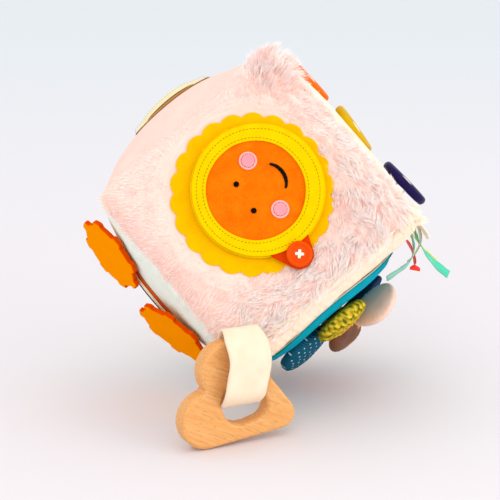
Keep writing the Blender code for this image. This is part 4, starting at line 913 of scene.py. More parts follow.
tape_turn = np.linspace(0, 2 * math.pi, 64, endpoint=False)
tape_outline = np.stack([
    -FLAP_RADIUS + HINGE_TAPE_WIDTH / 2 + HINGE_TAPE_WIDTH / 2
    * np.sign(np.cos(tape_turn)) * np.abs(np.cos(tape_turn)) ** 0.25,
    HINGE_TAPE_LENGTH / 2 * np.sign(np.sin(tape_turn)) * np.abs(np.sin(tape_turn)) ** 0.25,
], -1)
hinge_tape = cut_layer(
    "flap_hinge_felt", tape_outline, point_outline(64, tape_outline.mean(axis=0)), loop_low, hook_high,
    flap, flap_felt, "block",
)
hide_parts("flap_hinge_tape")


# The sun's face: two felt cheeks, each with a smaller patch sewn on by a round of thread, two French
# knots for eyes and a smile in satin stitch. The chin points to the upper right, as the block stands.

FACE_TURN = math.radians(-7)
EYE_SPREAD = 0.010
EYE_LEVEL = -0.0082
EYE_RADIUS = 0.0017
EYE_HEIGHT = 0.0009
CHEEK_SPREAD = 0.0184
CHEEK_LEVEL = 0.0062
CHEEK_RADIUS = 0.0058
CHEEK_THICKNESS = 0.0008
CHEEK_PATCH_SHARE = 0.72
SMILE_HALF_WIDTH = 0.0090
SMILE_LEVEL = 0.0168
SMILE_SAG = 0.0038
SMILE_STROKE = 0.0028

face = (
    flap
    @ Matrix.Translation((FACE_SHIFT_ALONG, FACE_SHIFT_ACROSS, face_high + SEAT_GAP))
    @ Matrix.Rotation(FACE_TURN, 4, "Z")
)
cheek_rim = felt("cheek_rim_felt", "#F8B9B2", "#EFA49E")
cheek_patch = felt("cheek_patch_felt", "#F6A0A8", "#EE8E98")
rose_thread = sewing_thread("rose_sewing_thread", "#B04A55", "#8A3440")
black_thread = sewing_thread("black_embroidery_thread", "#150905", "#070302")
for label, spread in (("a", -CHEEK_SPREAD), ("b", CHEEK_SPREAD)):
    middle = (spread, CHEEK_LEVEL)
    cheek = cut_layer(
        "cheek_felt_" + label, circle(CHEEK_RADIUS, 80, middle), point_outline(80, middle), 0,
        CHEEK_THICKNESS, face, cheek_rim, "sun_flap",
    )
    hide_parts("sun_cheek_" + label)
    patch_radius = CHEEK_RADIUS * CHEEK_PATCH_SHARE
    cut_layer(
        "cheek_patch_" + label, circle(patch_radius, 64, middle), point_outline(64, middle),
        CHEEK_THICKNESS, 1.6 * CHEEK_THICKNESS, face, cheek_patch, "sun_flap",
    )
    loop = circle(patch_radius + 0.0003, 90, middle)
    loop = np.concatenate([loop, loop[:1]])
    path = placed(np.column_stack([loop, np.full(len(loop), CHEEK_THICKNESS)]), face)
    stitch_row("cheek_stitches_" + label, path, flap_up, rose_thread, "sun_flap",
               pitch=0.0028, length=0.0026, radius=0.00016)


def make_knot(name, node, along):
    """French knot: a ball wound from thread, as three rings of arched stitches round a dome."""
    middle = np.array([along, EYE_LEVEL, 0.0])
    starts, ends = [], []
    for ring_share, height_share, count in ((0.86, 0.25, 9), (0.62, 0.62, 7), (0.30, 0.88, 4)):
        turn = np.arange(count) * 2 * math.pi / count + ring_share
        reach = 1.2 * EYE_RADIUS * ring_share
        height = EYE_HEIGHT * height_share
        for bag, shift in ((starts, -0.55), (ends, 0.75)):
            place = np.stack([reach * np.cos(turn + shift), reach * np.sin(turn + shift),
                              np.full(count, height)], -1)
            bag.append(middle + place)
    knot = thread_pods(
        name, placed(np.concatenate(starts), face), placed(np.concatenate(ends), face), flap_up, 0.00042,
        black_thread, "sun_flap", rings=5, sides=8,
    )
    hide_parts(node)


make_knot("eye_knot_a", "sun_eye_a", -EYE_SPREAD)
make_knot("eye_knot_b", "sun_eye_b", EYE_SPREAD)

smile_radius = (SMILE_HALF_WIDTH ** 2 + SMILE_SAG ** 2) / (2 * SMILE_SAG)
smile_reach = math.asin(SMILE_HALF_WIDTH / smile_radius)
smile_turn = np.linspace(math.pi / 2 - smile_reach, math.pi / 2 + smile_reach, 42)
smile_middle = np.array([0.0, SMILE_LEVEL + SMILE_SAG - smile_radius])
smile_rng = np.random.default_rng(5)
smile_ends = []
for side, slant in ((-1, -0.022), (1, 0.022)):
    full = 0.45 + 0.55 * np.sin(np.linspace(0.25, 2.9, smile_turn.size)) + smile_rng.uniform(-0.1, 0.1, 42)
    reach = smile_radius + side * SMILE_STROKE / 2 * full
    line = np.stack([reach * np.cos(smile_turn + slant), reach * np.sin(smile_turn + slant)], -1)
    height = np.full((smile_turn.size, 1), 0.0002)
    smile_ends.append(placed(np.concatenate([line + smile_middle, height], -1), face))
smile = thread_pods(
    "smile_stitches", smile_ends[0], smile_ends[1], flap_up, 0.00040, black_thread, "sun_flap",
    rise=1.1,
)
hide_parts("sun_smile")


# The button tab: a teardrop of orange felt sewn under the flap's ring. A four-hole button is sewn to
# it with two crossed pairs of thick white stitches.

TAB_REACH = 0.0475
TAB_END_RADIUS = 0.0095
TAB_ROOT_REACH = 0.0375
TAB_ROOT_WIDTH = 0.026
TAB_SIDE_SHIFT = -0.0068
TAB_BUTTON_THICKNESS = 0.0026
TAB_BUTTON_DISH = 0.0009
TAB_HOLE_SPREAD = 0.0034
CROSS_THREAD_RADIUS = 0.00062


def tangent_angle(first, second):
    """Direction from a circle's centre to where its outer tangent to the next circle leaves it."""
    gap = math.dist(first[:2], second[:2])
    heading = math.atan2(second[1] - first[1], second[0] - first[0])
    return heading - math.acos((first[2] - second[2]) / gap)


def hull_of_circles(circles, count):
    """Outline of circles (x, y, radius) given in turn order, joined by straight tangents."""
    points = []
    for before, here, after in zip(circles[-1:] + circles[:-1], circles, circles[1:] + circles[:1]):
        start = tangent_angle(before, here)
        end = tangent_angle(here, after)
        end += 2 * math.pi * math.ceil((start - end) / (2 * math.pi))
        turn = np.linspace(start, end, 24)
        points.append(np.stack([here[0] + here[2] * np.cos(turn), here[1] + here[2] * np.sin(turn)], -1))
    return even_points(np.concatenate(points), count)


def even_points(outline, count):
    """Closed outline again, with its points an even distance apart."""
    closed = np.vstack([outline, outline[:1]])
    walked = np.concatenate([[0.0], np.cumsum(np.linalg.norm(np.diff(closed, axis=0), axis=1))])
    wanted = np.linspace(0, walked[-1], count, endpoint=False)
    return np.stack([np.interp(wanted, walked, closed[:, k]) for k in range(closed.shape[1])], -1)


tab_felt = felt("tab_felt", "#E64606", "#CE3604")
tab_outline = hull_of_circles(
    [
        (TAB_ROOT_REACH, TAB_SIDE_SHIFT - TAB_ROOT_WIDTH / 2, FELT),
        (TAB_REACH, TAB_SIDE_SHIFT, TAB_END_RADIUS),
        (TAB_ROOT_REACH, TAB_SIDE_SHIFT + TAB_ROOT_WIDTH / 2, FELT),
    ],
    160,
)
button_tab = cut_layer(
    "tab_felt_piece", tab_outline, point_outline(160, (TAB_REACH - 0.004, TAB_SIDE_SHIFT)), face_low,
    face_high, flap, tab_felt, "sun_flap", seed=6,
)
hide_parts("button_tab")


def moulded_button(name, colour, shade, roughness=0.32):
    """Cast polyester resin, tumbled to a gloss: even colour, faint clouds, fine tumbling marks."""
    material, tree, shader = new_material(name, roughness, ior=1.54, specular=0.05)
    place = add(tree, "TexCoord", {}).outputs["Object"]
    marks = noise(tree, place, 0.0009, 5.0)
    dress(tree, shader, blend(tree, noise(tree, place, 0.008, 3.0), shade, colour), marks, 0.08, 0.0001)
    gloss = ranged(tree, marks, 0.0, 1.0, roughness - 0.06, roughness + 0.10)
    tree.links.new(gloss, shader.inputs["Roughness"])
    return material


def cross_stitches(name, node, place, top, spread, shank, body):
    """Two crossed pairs of plump stitches over a button, and a leg of thread down each hole."""
    up = place.to_3x3() @ Vector((0, 0, 1))
    half = spread / 2
    corners = np.array([(-half, -half), (half, -half), (half, half), (-half, half)])
    thick = CROSS_THREAD_RADIUS * (spread / TAB_HOLE_SPREAD) ** 0.3
    starts, ends = [], []
    for first, second in ((0, 2), (1, 3)):
        step = corners[second] - corners[first]
        sideways = np.array([-step[1], step[0]]) / np.linalg.norm(step) * thick * 0.75
        for shift in (-1, 1):
            level = top + thick * (0.3 if first == 0 else 1.0)
            reach = 0.16 * step
            starts.append([*(corners[first] - reach + shift * sideways), level])
            ends.append([*(corners[second] + reach + shift * sideways), level])
    for x, y in corners:
        starts.append([x, y, -shank])
        ends.append([x, y, top + thick])
    points = [placed(np.array(row), place) for row in (starts, ends)]
    up_rows = np.tile(np.array(up), (len(starts), 1))
    up_rows[4:] = np.array(place.to_3x3() @ Vector((1, 0, 0)))
    stitches = thread_pods(
        name, points[0], points[1], up_rows, thick, white_thread, body, rise=0.5,
        rings=7, sides=10,
    )
    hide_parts(node)


white_thread = sewing_thread("white_button_thread", "#FFF8EE", "#EBDCCB")
frame["nodes"]["tab_button"].material_slots[0].material = moulded_button(
    "tab_button_resin", "#EA5200", "#DC4400"
)
tab_button_place = flap @ Matrix.Translation((TAB_REACH, TAB_SIDE_SHIFT, flap_ring_high + SEAT_GAP))
cross_stitches(
    "tab_cross_stitches", "tab_thread", tab_button_place, TAB_BUTTON_THICKNESS - TAB_BUTTON_DISH,
    TAB_HOLE_SPREAD, flap_ring_high - face_high, "sun_flap",
)


# Three large buttons of the same resin stand off the upper right side on their own sewn shanks, so
# that small fingers can twist them.

LARGE_BUTTON_THICKNESS = 0.0062
LARGE_BUTTON_DISH = 0.0018
LARGE_HOLE_SPREAD = 0.0076
LARGE_BUTTON_DEPTH = 0.003
LARGE_BUTTON_LEAN = math.radians(12)
LARGE_BUTTONS = (
    ("orange", -0.0485, 0.0052, math.radians(-2), "#F26E00", "#E26000"),
    ("yellow", -0.0040, 0.0042, math.radians(6), "#DCAE00", "#C49800"),
    ("purple", 0.0445, 0.0086, math.radians(-3), "#241850", "#190F3C"),
)


def raised_seat(side, along, across, stand_off, tip, lean):
    """Frame that stands off a side: X along it, Z out of it, tipped along it and leaning forwards."""
    place = cover_points(side, np.array([along]), np.array([across]), stand_off)[0]
    z_axis = side.out + math.tan(tip) * side.along + math.tan(lean) * FRONT.out
    return block @ frame_matrix(place, side.along, z_axis)


for label, along_side, stand_off, tip, colour, shade in LARGE_BUTTONS:
    frame["nodes"]["big_button_" + label].material_slots[0].material = moulded_button(
        "large_button_resin_" + label, colour, shade, roughness=0.36
    )
    place = raised_seat(BUTTON, along_side, LARGE_BUTTON_DEPTH, stand_off, tip, LARGE_BUTTON_LEAN)
    cross_stitches(
        "large_cross_stitches_" + label, "big_thread_" + label, place,
        LARGE_BUTTON_THICKNESS - LARGE_BUTTON_DISH, LARGE_HOLE_SPREAD, stand_off - 0.0017,
        "big_button_" + label,
    )


# Two gears of orange felt laminated on 3 mm foam spin on snap fasteners. Their cut edges show the
# redder foam. Between them run an orange strip and a cream strip, sewn down, with a thin black felt
# strip along the cream strip's outer edge that is a painted shadow of the gap under that edge.

GEAR_TEETH = 8
GEAR_TIP_RADIUS = 0.0280
GEAR_ROOT_RADIUS = 0.0218
GEAR_THICKNESS = 0.0035
GEAR_TOOTH_WIDTH = 0.0075
GEAR_FILLET = 0.0020
GEAR_CORNER = 0.0014
GEAR_EDGE = 0.0009
GEAR_FELT_FILL = 0.50
GEAR_DEPTH = 0.022
GEARS = (
    ("upper", -0.0430, 0.0034, math.radians(-2.5), math.radians(19), math.radians(3)),
    ("lower", 0.0220, 0.0024, math.radians(11), math.radians(16), math.radians(20)),
)
STUD_BASE_RADIUS = 0.007
gear_low = SEAT_GAP + 0.0008 + SEAT_GAP + 0.0020 + SEAT_GAP


def arc(centre, radius, start, end, count):
    """Points along an arc, its start and end given in degrees."""
    turn = np.radians(np.linspace(start, end, count))
    return np.stack([centre[0] + radius * np.cos(turn), centre[1] + radius * np.sin(turn)], -1)


def spin_matrix(angle):
    """Matrix that turns rows of (x, y) points anticlockwise when they are multiplied by it."""
    return np.array([(math.cos(angle), math.sin(angle)), (-math.sin(angle), math.cos(angle))])


def gear_outline(count):
    """Eight round-cornered teeth on a round body, each joined to it by a fillet, evenly sampled."""
    half = GEAR_TOOTH_WIDTH / 2
    root_angle = math.asin((half + GEAR_FILLET) / GEAR_ROOT_RADIUS)
    foot = GEAR_ROOT_RADIUS * math.cos(root_angle)
    fillet = arc((foot + GEAR_FILLET, half + GEAR_FILLET), GEAR_FILLET, 180, 270, 6)
    corner = arc((GEAR_TIP_RADIUS - GEAR_CORNER, half - GEAR_CORNER), GEAR_CORNER, 90, 0, 6)
    flank = np.concatenate([fillet, corner])
    tooth = np.concatenate([flank * np.array([1, -1]), flank[::-1]])
    valley = math.degrees(2 * math.pi / GEAR_TEETH - root_angle)
    rest = arc((0, 0), GEAR_ROOT_RADIUS, math.degrees(root_angle), valley, 8)[1:-1]
    one = np.concatenate([tooth, rest])
    whole = [one @ spin_matrix(2 * math.pi * k / GEAR_TEETH) for k in range(GEAR_TEETH)]
    return even_points(np.concatenate(whole), count)


def gear_laminate():
    """Orange felt laminated on foam: flecked felt on the faces and redder, open-celled foam edges."""
    material, tree, shader = new_material("gear_laminate", 0.95, specular=0.0)
    fleck = noise(tree, add(tree, "TexCoord", {}).outputs["Object"], 0.0009, 4.0)
    face_tone = blend(tree, fleck, "#FA8800", "#FF9E00")
    edge_tone = blend(tree, fleck, "#D23C00", "#EC5200")
    tint = add(tree, "Attribute", {}, attribute_name="tint").outputs["Fac"]
    dress(tree, shader, blend(tree, tint, face_tone, edge_tone), fleck, 0.35, 0.0003)
    return material


def make_gear(name, node, place, material, body, seed):
    """Gear plate: its outline drawn in to the hub over a slightly domed face, with rounded edges."""
    outline = gear_outline(320)
    reach = np.linalg.norm(outline, axis=1)
    outline *= ((reach + GEAR_FELT_FILL * (GEAR_TIP_RADIUS - reach)) / reach)[:, None]
    share = np.concatenate([np.linspace(0, 0.9, 12), np.linspace(0.92, 1, 5)])
    bend = np.linspace(0, math.pi / 2, 5)[1:]
    half = GEAR_THICKNESS / 2
    inset = GEAR_EDGE / GEAR_TIP_RADIUS
    profile = [(s * (1 - inset), half, 0.0) for s in share]
    profile += [(1 - inset * (1 - math.sin(b)), half - GEAR_EDGE * (1 - math.cos(b)), b / 1.2) for b in bend]
    lower = [(s, -h, t) for s, h, t in profile[::-1]]
    profile = np.array(profile + lower)
    flat = profile[:, 0, None, None] * outline[None]
    wave = 0.00018 * waves(flat, 0.02, seed)
    height = gear_low + half + profile[:, 1, None] + wave * (profile[:, 1, None] > 0)
    points = np.concatenate([flat, height[..., None]], -1)
    points = np.concatenate([points, points[:, :1]], axis=1)
    rows, columns = points.shape[:2]
    wall = np.clip(profile[:, 2], 0, 1)
    tint = np.repeat(np.repeat(wall[:, None, None], columns, 1), 4, 2)
    gear = new_piece(
        name, placed(points.reshape(-1, 3), place), [grid_quads(rows, columns)], material, body,
        tint=tint, weld=True,
    )
    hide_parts(node)


def snap_plastic():
    """Injection-moulded acetal: milky, slightly translucent, with a soft even shine."""
    material, tree, shader = new_material("snap_plastic", 0.4, ior=1.48, specular=0.5)
    haze = noise(tree, add(tree, "TexCoord", {}).outputs["Object"], 0.002)
    dress(tree, shader, blend(tree, haze, "#DDD7CB", "#F2EDE3"), haze, 0.05, 0.0001)
    return material


gear_felt = gear_laminate()
snap = snap_plastic()
for k, (label, along_side, stand_off, tip, lean, turn) in enumerate(GEARS):
    place = raised_seat(GEAR, along_side, GEAR_DEPTH, stand_off, tip, lean) @ Matrix.Rotation(turn, 4, "Z")
    make_gear("gear_plate_" + label, "gear_" + label, place, gear_felt, "gear_" + label, 70 + k)
    for node in ("snap_stud_", "snap_socket_"):
        frame["nodes"][node + label].material_slots[0].material = snap

STRIP_END_CLEARANCE = 0.002
STRIP_ORANGE_WIDTH = 0.014
STRIP_CREAM_WIDTH = 0.0070
SHADOW_GAP_WIDTH = 0.0018
STRIP_THICKNESS = 0.0008


def side_strip(name, node, middle, width, lift, material, crown=0.0):
    """Strip laid along the gear side's crown: a closed sheet between two grids, its edges rounded."""
    start = GEARS[0][1] + STUD_BASE_RADIUS + STRIP_END_CLEARANCE
    end = GEARS[1][1] - STUD_BASE_RADIUS - STRIP_END_CLEARANCE
    rows, columns = 60, 13
    along, place = np.meshgrid(np.linspace(start, end, rows), np.linspace(-1, 1, columns), indexing="ij")
    across = middle + place * width / 2
    puff = (STRIP_THICKNESS + crown) * (1 - np.abs(place) ** 6)
    top = cover_points(GEAR, along, across, lift) + (puff * 0.98 + 0.00002)[..., None] * GEAR.out
    bottom = cover_points(GEAR, along, across, lift)
    uv = np.stack([along, across], -1)
    strip = new_piece(
        name, placed(np.stack([top, bottom]), block), [sheet_quads(rows, columns)], material, "block",
        uv=np.stack([uv, uv]),
    )
    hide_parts(node)


strip_lift = SOFT_GAP
upper_lift = strip_lift + STRIP_THICKNESS + SOFT_GAP
cream_middle = GEAR_DEPTH + (STRIP_ORANGE_WIDTH - STRIP_CREAM_WIDTH) / 2 - STRIP_CREAM_WIDTH / 2
shadow_gap_middle = cream_middle - STRIP_CREAM_WIDTH / 2 - SOFT_GAP - SHADOW_GAP_WIDTH / 2
orange_strip_felt = felt("strip_orange_felt", "#F8700C", "#E04E06")
# Painted shadow: this black felt stands for the shadow in the gap along the cream strip's edge.
black_felt = felt("black_felt", "#38332F", "#1C1917")
side_strip("strip_orange", "track_strip_orange", GEAR_DEPTH, STRIP_ORANGE_WIDTH, strip_lift,
           orange_strip_felt)
side_strip("strip_cream", "track_strip_cream", cream_middle, STRIP_CREAM_WIDTH, upper_lift, cream_cotton,
           crown=0.0005)
# The black strip is a painted shadow, not a cord.
side_strip("strip_black", "track_strip_black", shadow_gap_middle, SHADOW_GAP_WIDTH, upper_lift, black_felt,
           crown=0.0010)


# The pocket: a cotton patch eased onto the upper left side, sewn on three edges with its hem gaping
# over a lining. The lining's brown is painted shade for the inside of the pocket's mouth. The hem is
# turned under and stitched 3 mm from its fold.

POCKET_LENGTH = 0.062
POCKET_MOUTH = 0.028
POCKET_DEPTH = 0.080
POCKET_SHIFT = 0.006
POCKET_MOUTH_GAP = 0.0016
POCKET_OPEN_SHARE = 0.64
POCKET_SWELL = 0.0040
POCKET_TAPER_SHARE = 0.16
POCKET_GAPE_POWER = 1.5
POCKET_LIP_POWER = 0.6
LINING_THICKNESS = 0.0003
POCKET_TOP_THICKNESS = 0.0012
HEM_WIDTH = 0.005


def pocket_grid(rows, columns, shrink=0.0):
    """Places over the pocket: from its rear seam (0) to its mouth (1), and from end to end."""
    depth = np.linspace(0, 1, rows)[:, None] * np.ones(columns)
    run = np.linspace(-1, 1, columns)[None, :] * np.ones((rows, 1))
    width = (POCKET_LENGTH / 2 - shrink) * (1 - POCKET_TAPER_SHARE * (1 - depth) ** 3)
    along = POCKET_MOUTH - (1 - depth) * (POCKET_DEPTH - 2 * shrink)
    return depth, run, along - shrink, POCKET_SHIFT + run * width


def pocket_lift(depth, run):
    """How far the patch stands off: a sine swell, and a gape that grows as a power towards the mouth."""
    swell = POCKET_SWELL * np.sin(math.pi * depth ** 1.6) * (1 - run ** 2) ** 0.8
    lip = np.clip(1 - (run / POCKET_OPEN_SHARE) ** 2, 0, None) ** POCKET_LIP_POWER
    return swell + POCKET_MOUTH_GAP * depth ** POCKET_GAPE_POWER * lip


pocket_cotton = cotton("pocket_cotton", "#F6E9C2", "#E8DAA6")
depth, run, along, across = pocket_grid(90, 90)
pocket_bulge = panel_bulge(POCKET, along, across)
inner_lift = pocket_bulge + 0.0007 + pocket_lift(depth, run)
to_mouth = (1 - depth) * POCKET_DEPTH
hem = 0.0005 * smooth_step(-to_mouth, -HEM_WIDTH, -HEM_WIDTH + 0.0006)
edge_pucker = 0.0004 * np.sin(2 * math.pi * along / 0.0068) * np.exp(-(1 - np.abs(run)) / 0.10)
ease = 0.0005 * waves(np.stack([along, across], -1), 0.03, 77) * np.sin(math.pi * depth) * (1 - run ** 2)
to_rim = np.minimum(1 - np.abs(run), np.minimum(depth, 1.02 - depth) * 2)
pinch = 0.12 + 0.88 * smooth_step(to_rim, 0, 0.35)
top_lift = inner_lift + POCKET_TOP_THICKNESS * pinch + hem * pinch + (edge_pucker + ease) * pinch
pocket_uv = np.stack([along, across], -1)
pocket = new_piece(
    "pocket_patch_cloth",
    placed(np.stack([cover_points(POCKET, along, across, top_lift),
                     cover_points(POCKET, along, across, inner_lift)]), block),
    [sheet_quads(90, 90)], pocket_cotton, "block", uv=np.stack([pocket_uv, pocket_uv]),
)
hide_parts("pocket_patch")

# Painted shade: the lining is brown to stand for the shade inside the pocket's mouth.
brown_lining = cotton("brown_lining", "#D0A062", "#AC7C42")
depth, run, along, across = pocket_grid(60, 60, shrink=-0.0008)
lining_uv = np.stack([along, across], -1)
lining_lift = panel_bulge(POCKET, along, across) + 0.0002
facing = 0.8 * pocket_lift(depth, run) * smooth_step(depth, 0.9, 1.0)
lining = new_piece(
    "pocket_lining_cloth",
    placed(np.stack([cover_points(POCKET, along, across, lining_lift + LINING_THICKNESS + facing),
                     cover_points(POCKET, along, across, lining_lift)]), block),
    [sheet_quads(60, 60)], brown_lining, "block", uv=np.stack([lining_uv, lining_uv]),
)
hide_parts("pocket_lining")

tan_thread = sewing_thread("tan_sewing_thread", "#CDBB84", "#A8945C")


def pocket_seam(name, depth_line, run_line):
    """Running stitches over the patch along a line of (depth, run) shares."""
    width = POCKET_LENGTH / 2 * (1 - POCKET_TAPER_SHARE * (1 - depth_line) ** 3)
    along = POCKET_MOUTH - (1 - depth_line) * POCKET_DEPTH
    across = POCKET_SHIFT + run_line * width
    lift = panel_bulge(POCKET, along, across) + 0.0008 + pocket_lift(depth_line, run_line)
    lift = lift + POCKET_TOP_THICKNESS * (0.55 if np.ptp(run_line) == 0 else 1.0) + 0.0003
    path = placed(cover_points(POCKET, along, across, lift), block)
    up = block.to_3x3() @ Vector(POCKET.out)
    stitch_row(name, path, up, tan_thread, "block")


ones = np.ones(200)
pocket_seam("pocket_hem_stitches", ones - 0.0045 / POCKET_DEPTH, np.linspace(-0.96, 0.96, 200))
pocket_seam("pocket_side_stitches_a", np.linspace(0.02, 0.94, 200), -0.955 * ones)
pocket_seam("pocket_side_stitches_b", np.linspace(0.02, 0.94, 200), 0.955 * ones)
pocket_seam("pocket_rear_stitches", 0.02 * ones, np.linspace(-0.955, 0.955, 200))


# The flower's ground: a circle of teal felt on a slightly larger cream felt, sewn on the lower right
# side only inside its edge, so that the edge waves and stands off the cover.

TEAL_RADIUS = 0.060
TEAL_THICKNESS = 0.0016
FLOWER_DEPTH = -0.004
FLOWER_LEVEL = -0.003
CENTRE_RADIUS = 0.0095
CENTRE_HEIGHT = 0.015
FELT_ROLL_HEIGHT = 0.0027
FELT_ROLL_AT = 0.81
FELT_ROLL_SPREAD = 0.11
FELT_WAVE_HEIGHT = 0.0008


def round_sheet(radius, rows, columns):
    """Polar grid of places in a circle, closed round, with its rings closer together near the rim."""
    share = np.linspace(0, 1, rows) ** 0.7
    turn = np.linspace(0, 2 * math.pi, columns)
    return (radius * share[:, None] * np.cos(turn), radius * share[:, None] * np.sin(turn),
            share[:, None] * np.ones(columns), turn[None] * np.ones((rows, 1)))


def edge_wave(share, turn):
    """Lift of the felt: a Gaussian roll 2.7 mm high inside its front half's rim, and gentle waves."""
    wave = 0.5 + 0.35 * np.sin(3 * turn + 5.0) + 0.25 * np.sin(5 * turn + 1.0)
    front_half = smooth_step(-np.cos(turn), -0.15, 0.25)
    swell = np.exp(-((share - FELT_ROLL_AT) / FELT_ROLL_SPREAD) ** 2)
    roll = FELT_ROLL_HEIGHT * swell * (0.8 + 0.2 * wave) * front_half
    return roll + FELT_WAVE_HEIGHT * share ** 6 * np.clip(wave, 0, None)


def flower_layer(name, radius, lift, thickness, material):
    """Felt circle on the flower side: the polar grid and its wave, laid twice, a thickness apart."""
    x, y, share, turn = round_sheet(radius, 34, 181)
    wave = edge_wave(share, turn)
    top = cover_points(FLOWER, x + FLOWER_DEPTH, y + FLOWER_LEVEL, lift + thickness + wave)
    bottom = cover_points(FLOWER, x + FLOWER_DEPTH, y + FLOWER_LEVEL, lift + wave)
    points = np.concatenate([top, bottom[::-1]])
    return new_piece(
        name, placed(points.reshape(-1, 3), block), [grid_quads(68, 181)], material, "block", weld=True
    )


teal_felt = felt("teal_felt", "#12AFC4", "#068EA6")
cream_felt = felt("cream_felt", "#F6EAD2", "#EADBBC")
teal = flower_layer("teal_felt_circle", TEAL_RADIUS, SOFT_GAP + 0.0006, TEAL_THICKNESS - 0.0006,
                    teal_felt)
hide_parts("teal_disc")
flower_layer("cream_felt_circle", TEAL_RADIUS + 0.0008, SOFT_GAP, 0.0005, cream_felt)

flower = block @ crown_frame(FLOWER, FLOWER_DEPTH, FLOWER_LEVEL, SOFT_GAP + TEAL_THICKNESS + SEAT_GAP)
dome_turn = np.linspace(0, math.pi / 2, 20)
dome = np.stack([
    CENTRE_RADIUS * np.cos(dome_turn) ** 0.55,
    CENTRE_HEIGHT * (0.55 + 0.45 * np.sin(dome_turn)),
], -1)
dome = np.concatenate([[(0.0, 0.0), (CENTRE_RADIUS * 0.97, 0.0)], dome])
spin = np.linspace(0, 2 * math.pi, 65)
dome_points = np.stack([
    dome[:, :1] * np.cos(spin), dome[:, :1] * np.sin(spin), dome[:, 1:] * np.ones(65)
], -1)
centre = new_piece(
    "flower_centre_felt", placed(dome_points.reshape(-1, 3), flower), [grid_quads(len(dome), 65)],
    felt("flower_centre_felt", "#EC8B78", "#DB7361"), "block", weld=True,
)
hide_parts("flower_centre")


# Six padded petals, each of two layers of a different cloth sewn round the edge, turned and lightly
# filled: chenille, dotted cotton, satin and plain cottons. Their roots are sewn under the centre.

PETAL_ROOT_GAP = 0.0003
PETAL_WIDTH = 0.034
PETAL_THICKNESS = 0.0084
PETAL_CURL = 0.003
PETAL_LOW_LENGTH = 0.041
PETAL_HIGH_LENGTH = 0.044
PETAL_LOW_RISE = 0.0047
PETAL_HIGH_RISE = 0.0096
PETAL_TIP_SHARE = 0.22
PETAL_RINGS = 60
PETAL_SIDES = 72
PETALS = (
    ("lime", 180, 3, 0, False, (1.08, 1.12, 1.55)),
    ("blush", 120, 14, 30, True, (0.86, 0.98, 1.10)),
    ("navy", 60, 1, 0, False, (0.95, 1.00, 1.00)),
    ("brown", 0, 26, 0, True, (0.90, 0.80, 1.10)),
    ("salmon", -40, 3, 0, False, (1.00, 1.05, 1.20)),
    ("blue", -105, 3, 16, False, (0.98, 1.08, 1.30)),
)


def dotted_cotton():
    """Teal-blue printed cotton: pale dots 1.2 mm across on a 5 mm grid, over a fine weave."""
    material, tree, shader = new_material("dotted_cotton", 0.85, specular=0.08)
    cloth = add(tree, "TexCoord", {}).outputs["UV"]
    dots = add(
        tree, "TexVoronoi", {"Vector": cloth, "Scale": 1 / 0.0050, "Randomness": 0.25},
        voronoi_dimensions="2D",
    )
    dot = ranged(tree, dots.outputs["Distance"], 0.10, 0.14, 1.0, 0.0)
    weave = wave(tree, cloth, 0.0010, "DIAGONAL", Distortion=0.6)
    ground = blend(tree, weave, "#0A4459", "#176580")
    dress(tree, shader, blend(tree, dot, ground, "#B9D8E0"), weave, 0.3, 0.0002)
    return material


def chenille():
    """Lime chenille: a deep velvety pile in worm-like ribs, with olive painted shade in the grooves."""
    material, tree, shader = new_material("lime_chenille", 0.95, specular=0.02)
    tint = add(tree, "Attribute", {}, attribute_name="tint").outputs["Fac"]
    nap = noise(tree, add(tree, "TexCoord", {}).outputs["Object"], 0.0011, 4.0)
    tone = add(tree, "ValToRGB", {"Fac": times_plus(tree, nap, 0.5, tint)})
    # Painted shade: the olive end of the ramp marks the shaded grooves, the yellow end the lit ribs.
    tone.color_ramp.elements[0].color = linear("#5C6416")
    tone.color_ramp.elements[0].position = 0.3
    tone.color_ramp.elements[1].color = linear("#EDC836")
    tone.color_ramp.elements[1].position = 1.0
    dress(tree, shader, tone.outputs["Color"], nap, 0.9, 0.0006)
    return material


def satin(name, colour, shade, painted_highlight=None):
    """Polyester satin: floats of filament that shine along one way, with fine ribs 0.6 mm apart."""
    material, tree, shader = new_material(name, 0.45, specular=0.3)
    shader.inputs["Anisotropic"].default_value = 0.5
    cloth = add(tree, "TexCoord", {})
    tone = blend(tree, noise(tree, cloth.outputs["Object"], 0.010), shade, colour)
    # Painted highlights: golden spots about 22 mm apart, painted on as glints of light.
    if painted_highlight:
        spots = add(tree, "TexVoronoi", {"Vector": cloth.outputs["UV"], "Scale": 1 / 0.022},
                    voronoi_dimensions="2D")
        tone = blend(tree, ranged(tree, spots.outputs["Distance"], 0.10, 0.20, 1.0, 0.0), tone, painted_highlight)
    dress(tree, shader, tone, wave(tree, cloth.outputs["UV"], 0.0006, "Y"), 0.12, 0.0001)
    return material


petal_cloths = {
    "lime": (chenille(), "lime_chenille"),
    "blush": (satin("blush_satin", "#FBD9C9", "#F2C2AE"), "blush_satin"),
    "navy": (cotton("navy_cotton", "#30466A", "#22334E"), "navy_cotton"),
    # The brown satin carries painted golden highlights.
    "brown": (satin("brown_satin", "#8A4E20", "#5A300E", painted_highlight="#D89A2C"), "brown_satin"),
    "salmon": (cotton("salmon_cotton", "#EC8B78", "#DC7361"), "salmon_cotton"),
    "blue": (dotted_cotton(), "blue_cotton"),
}


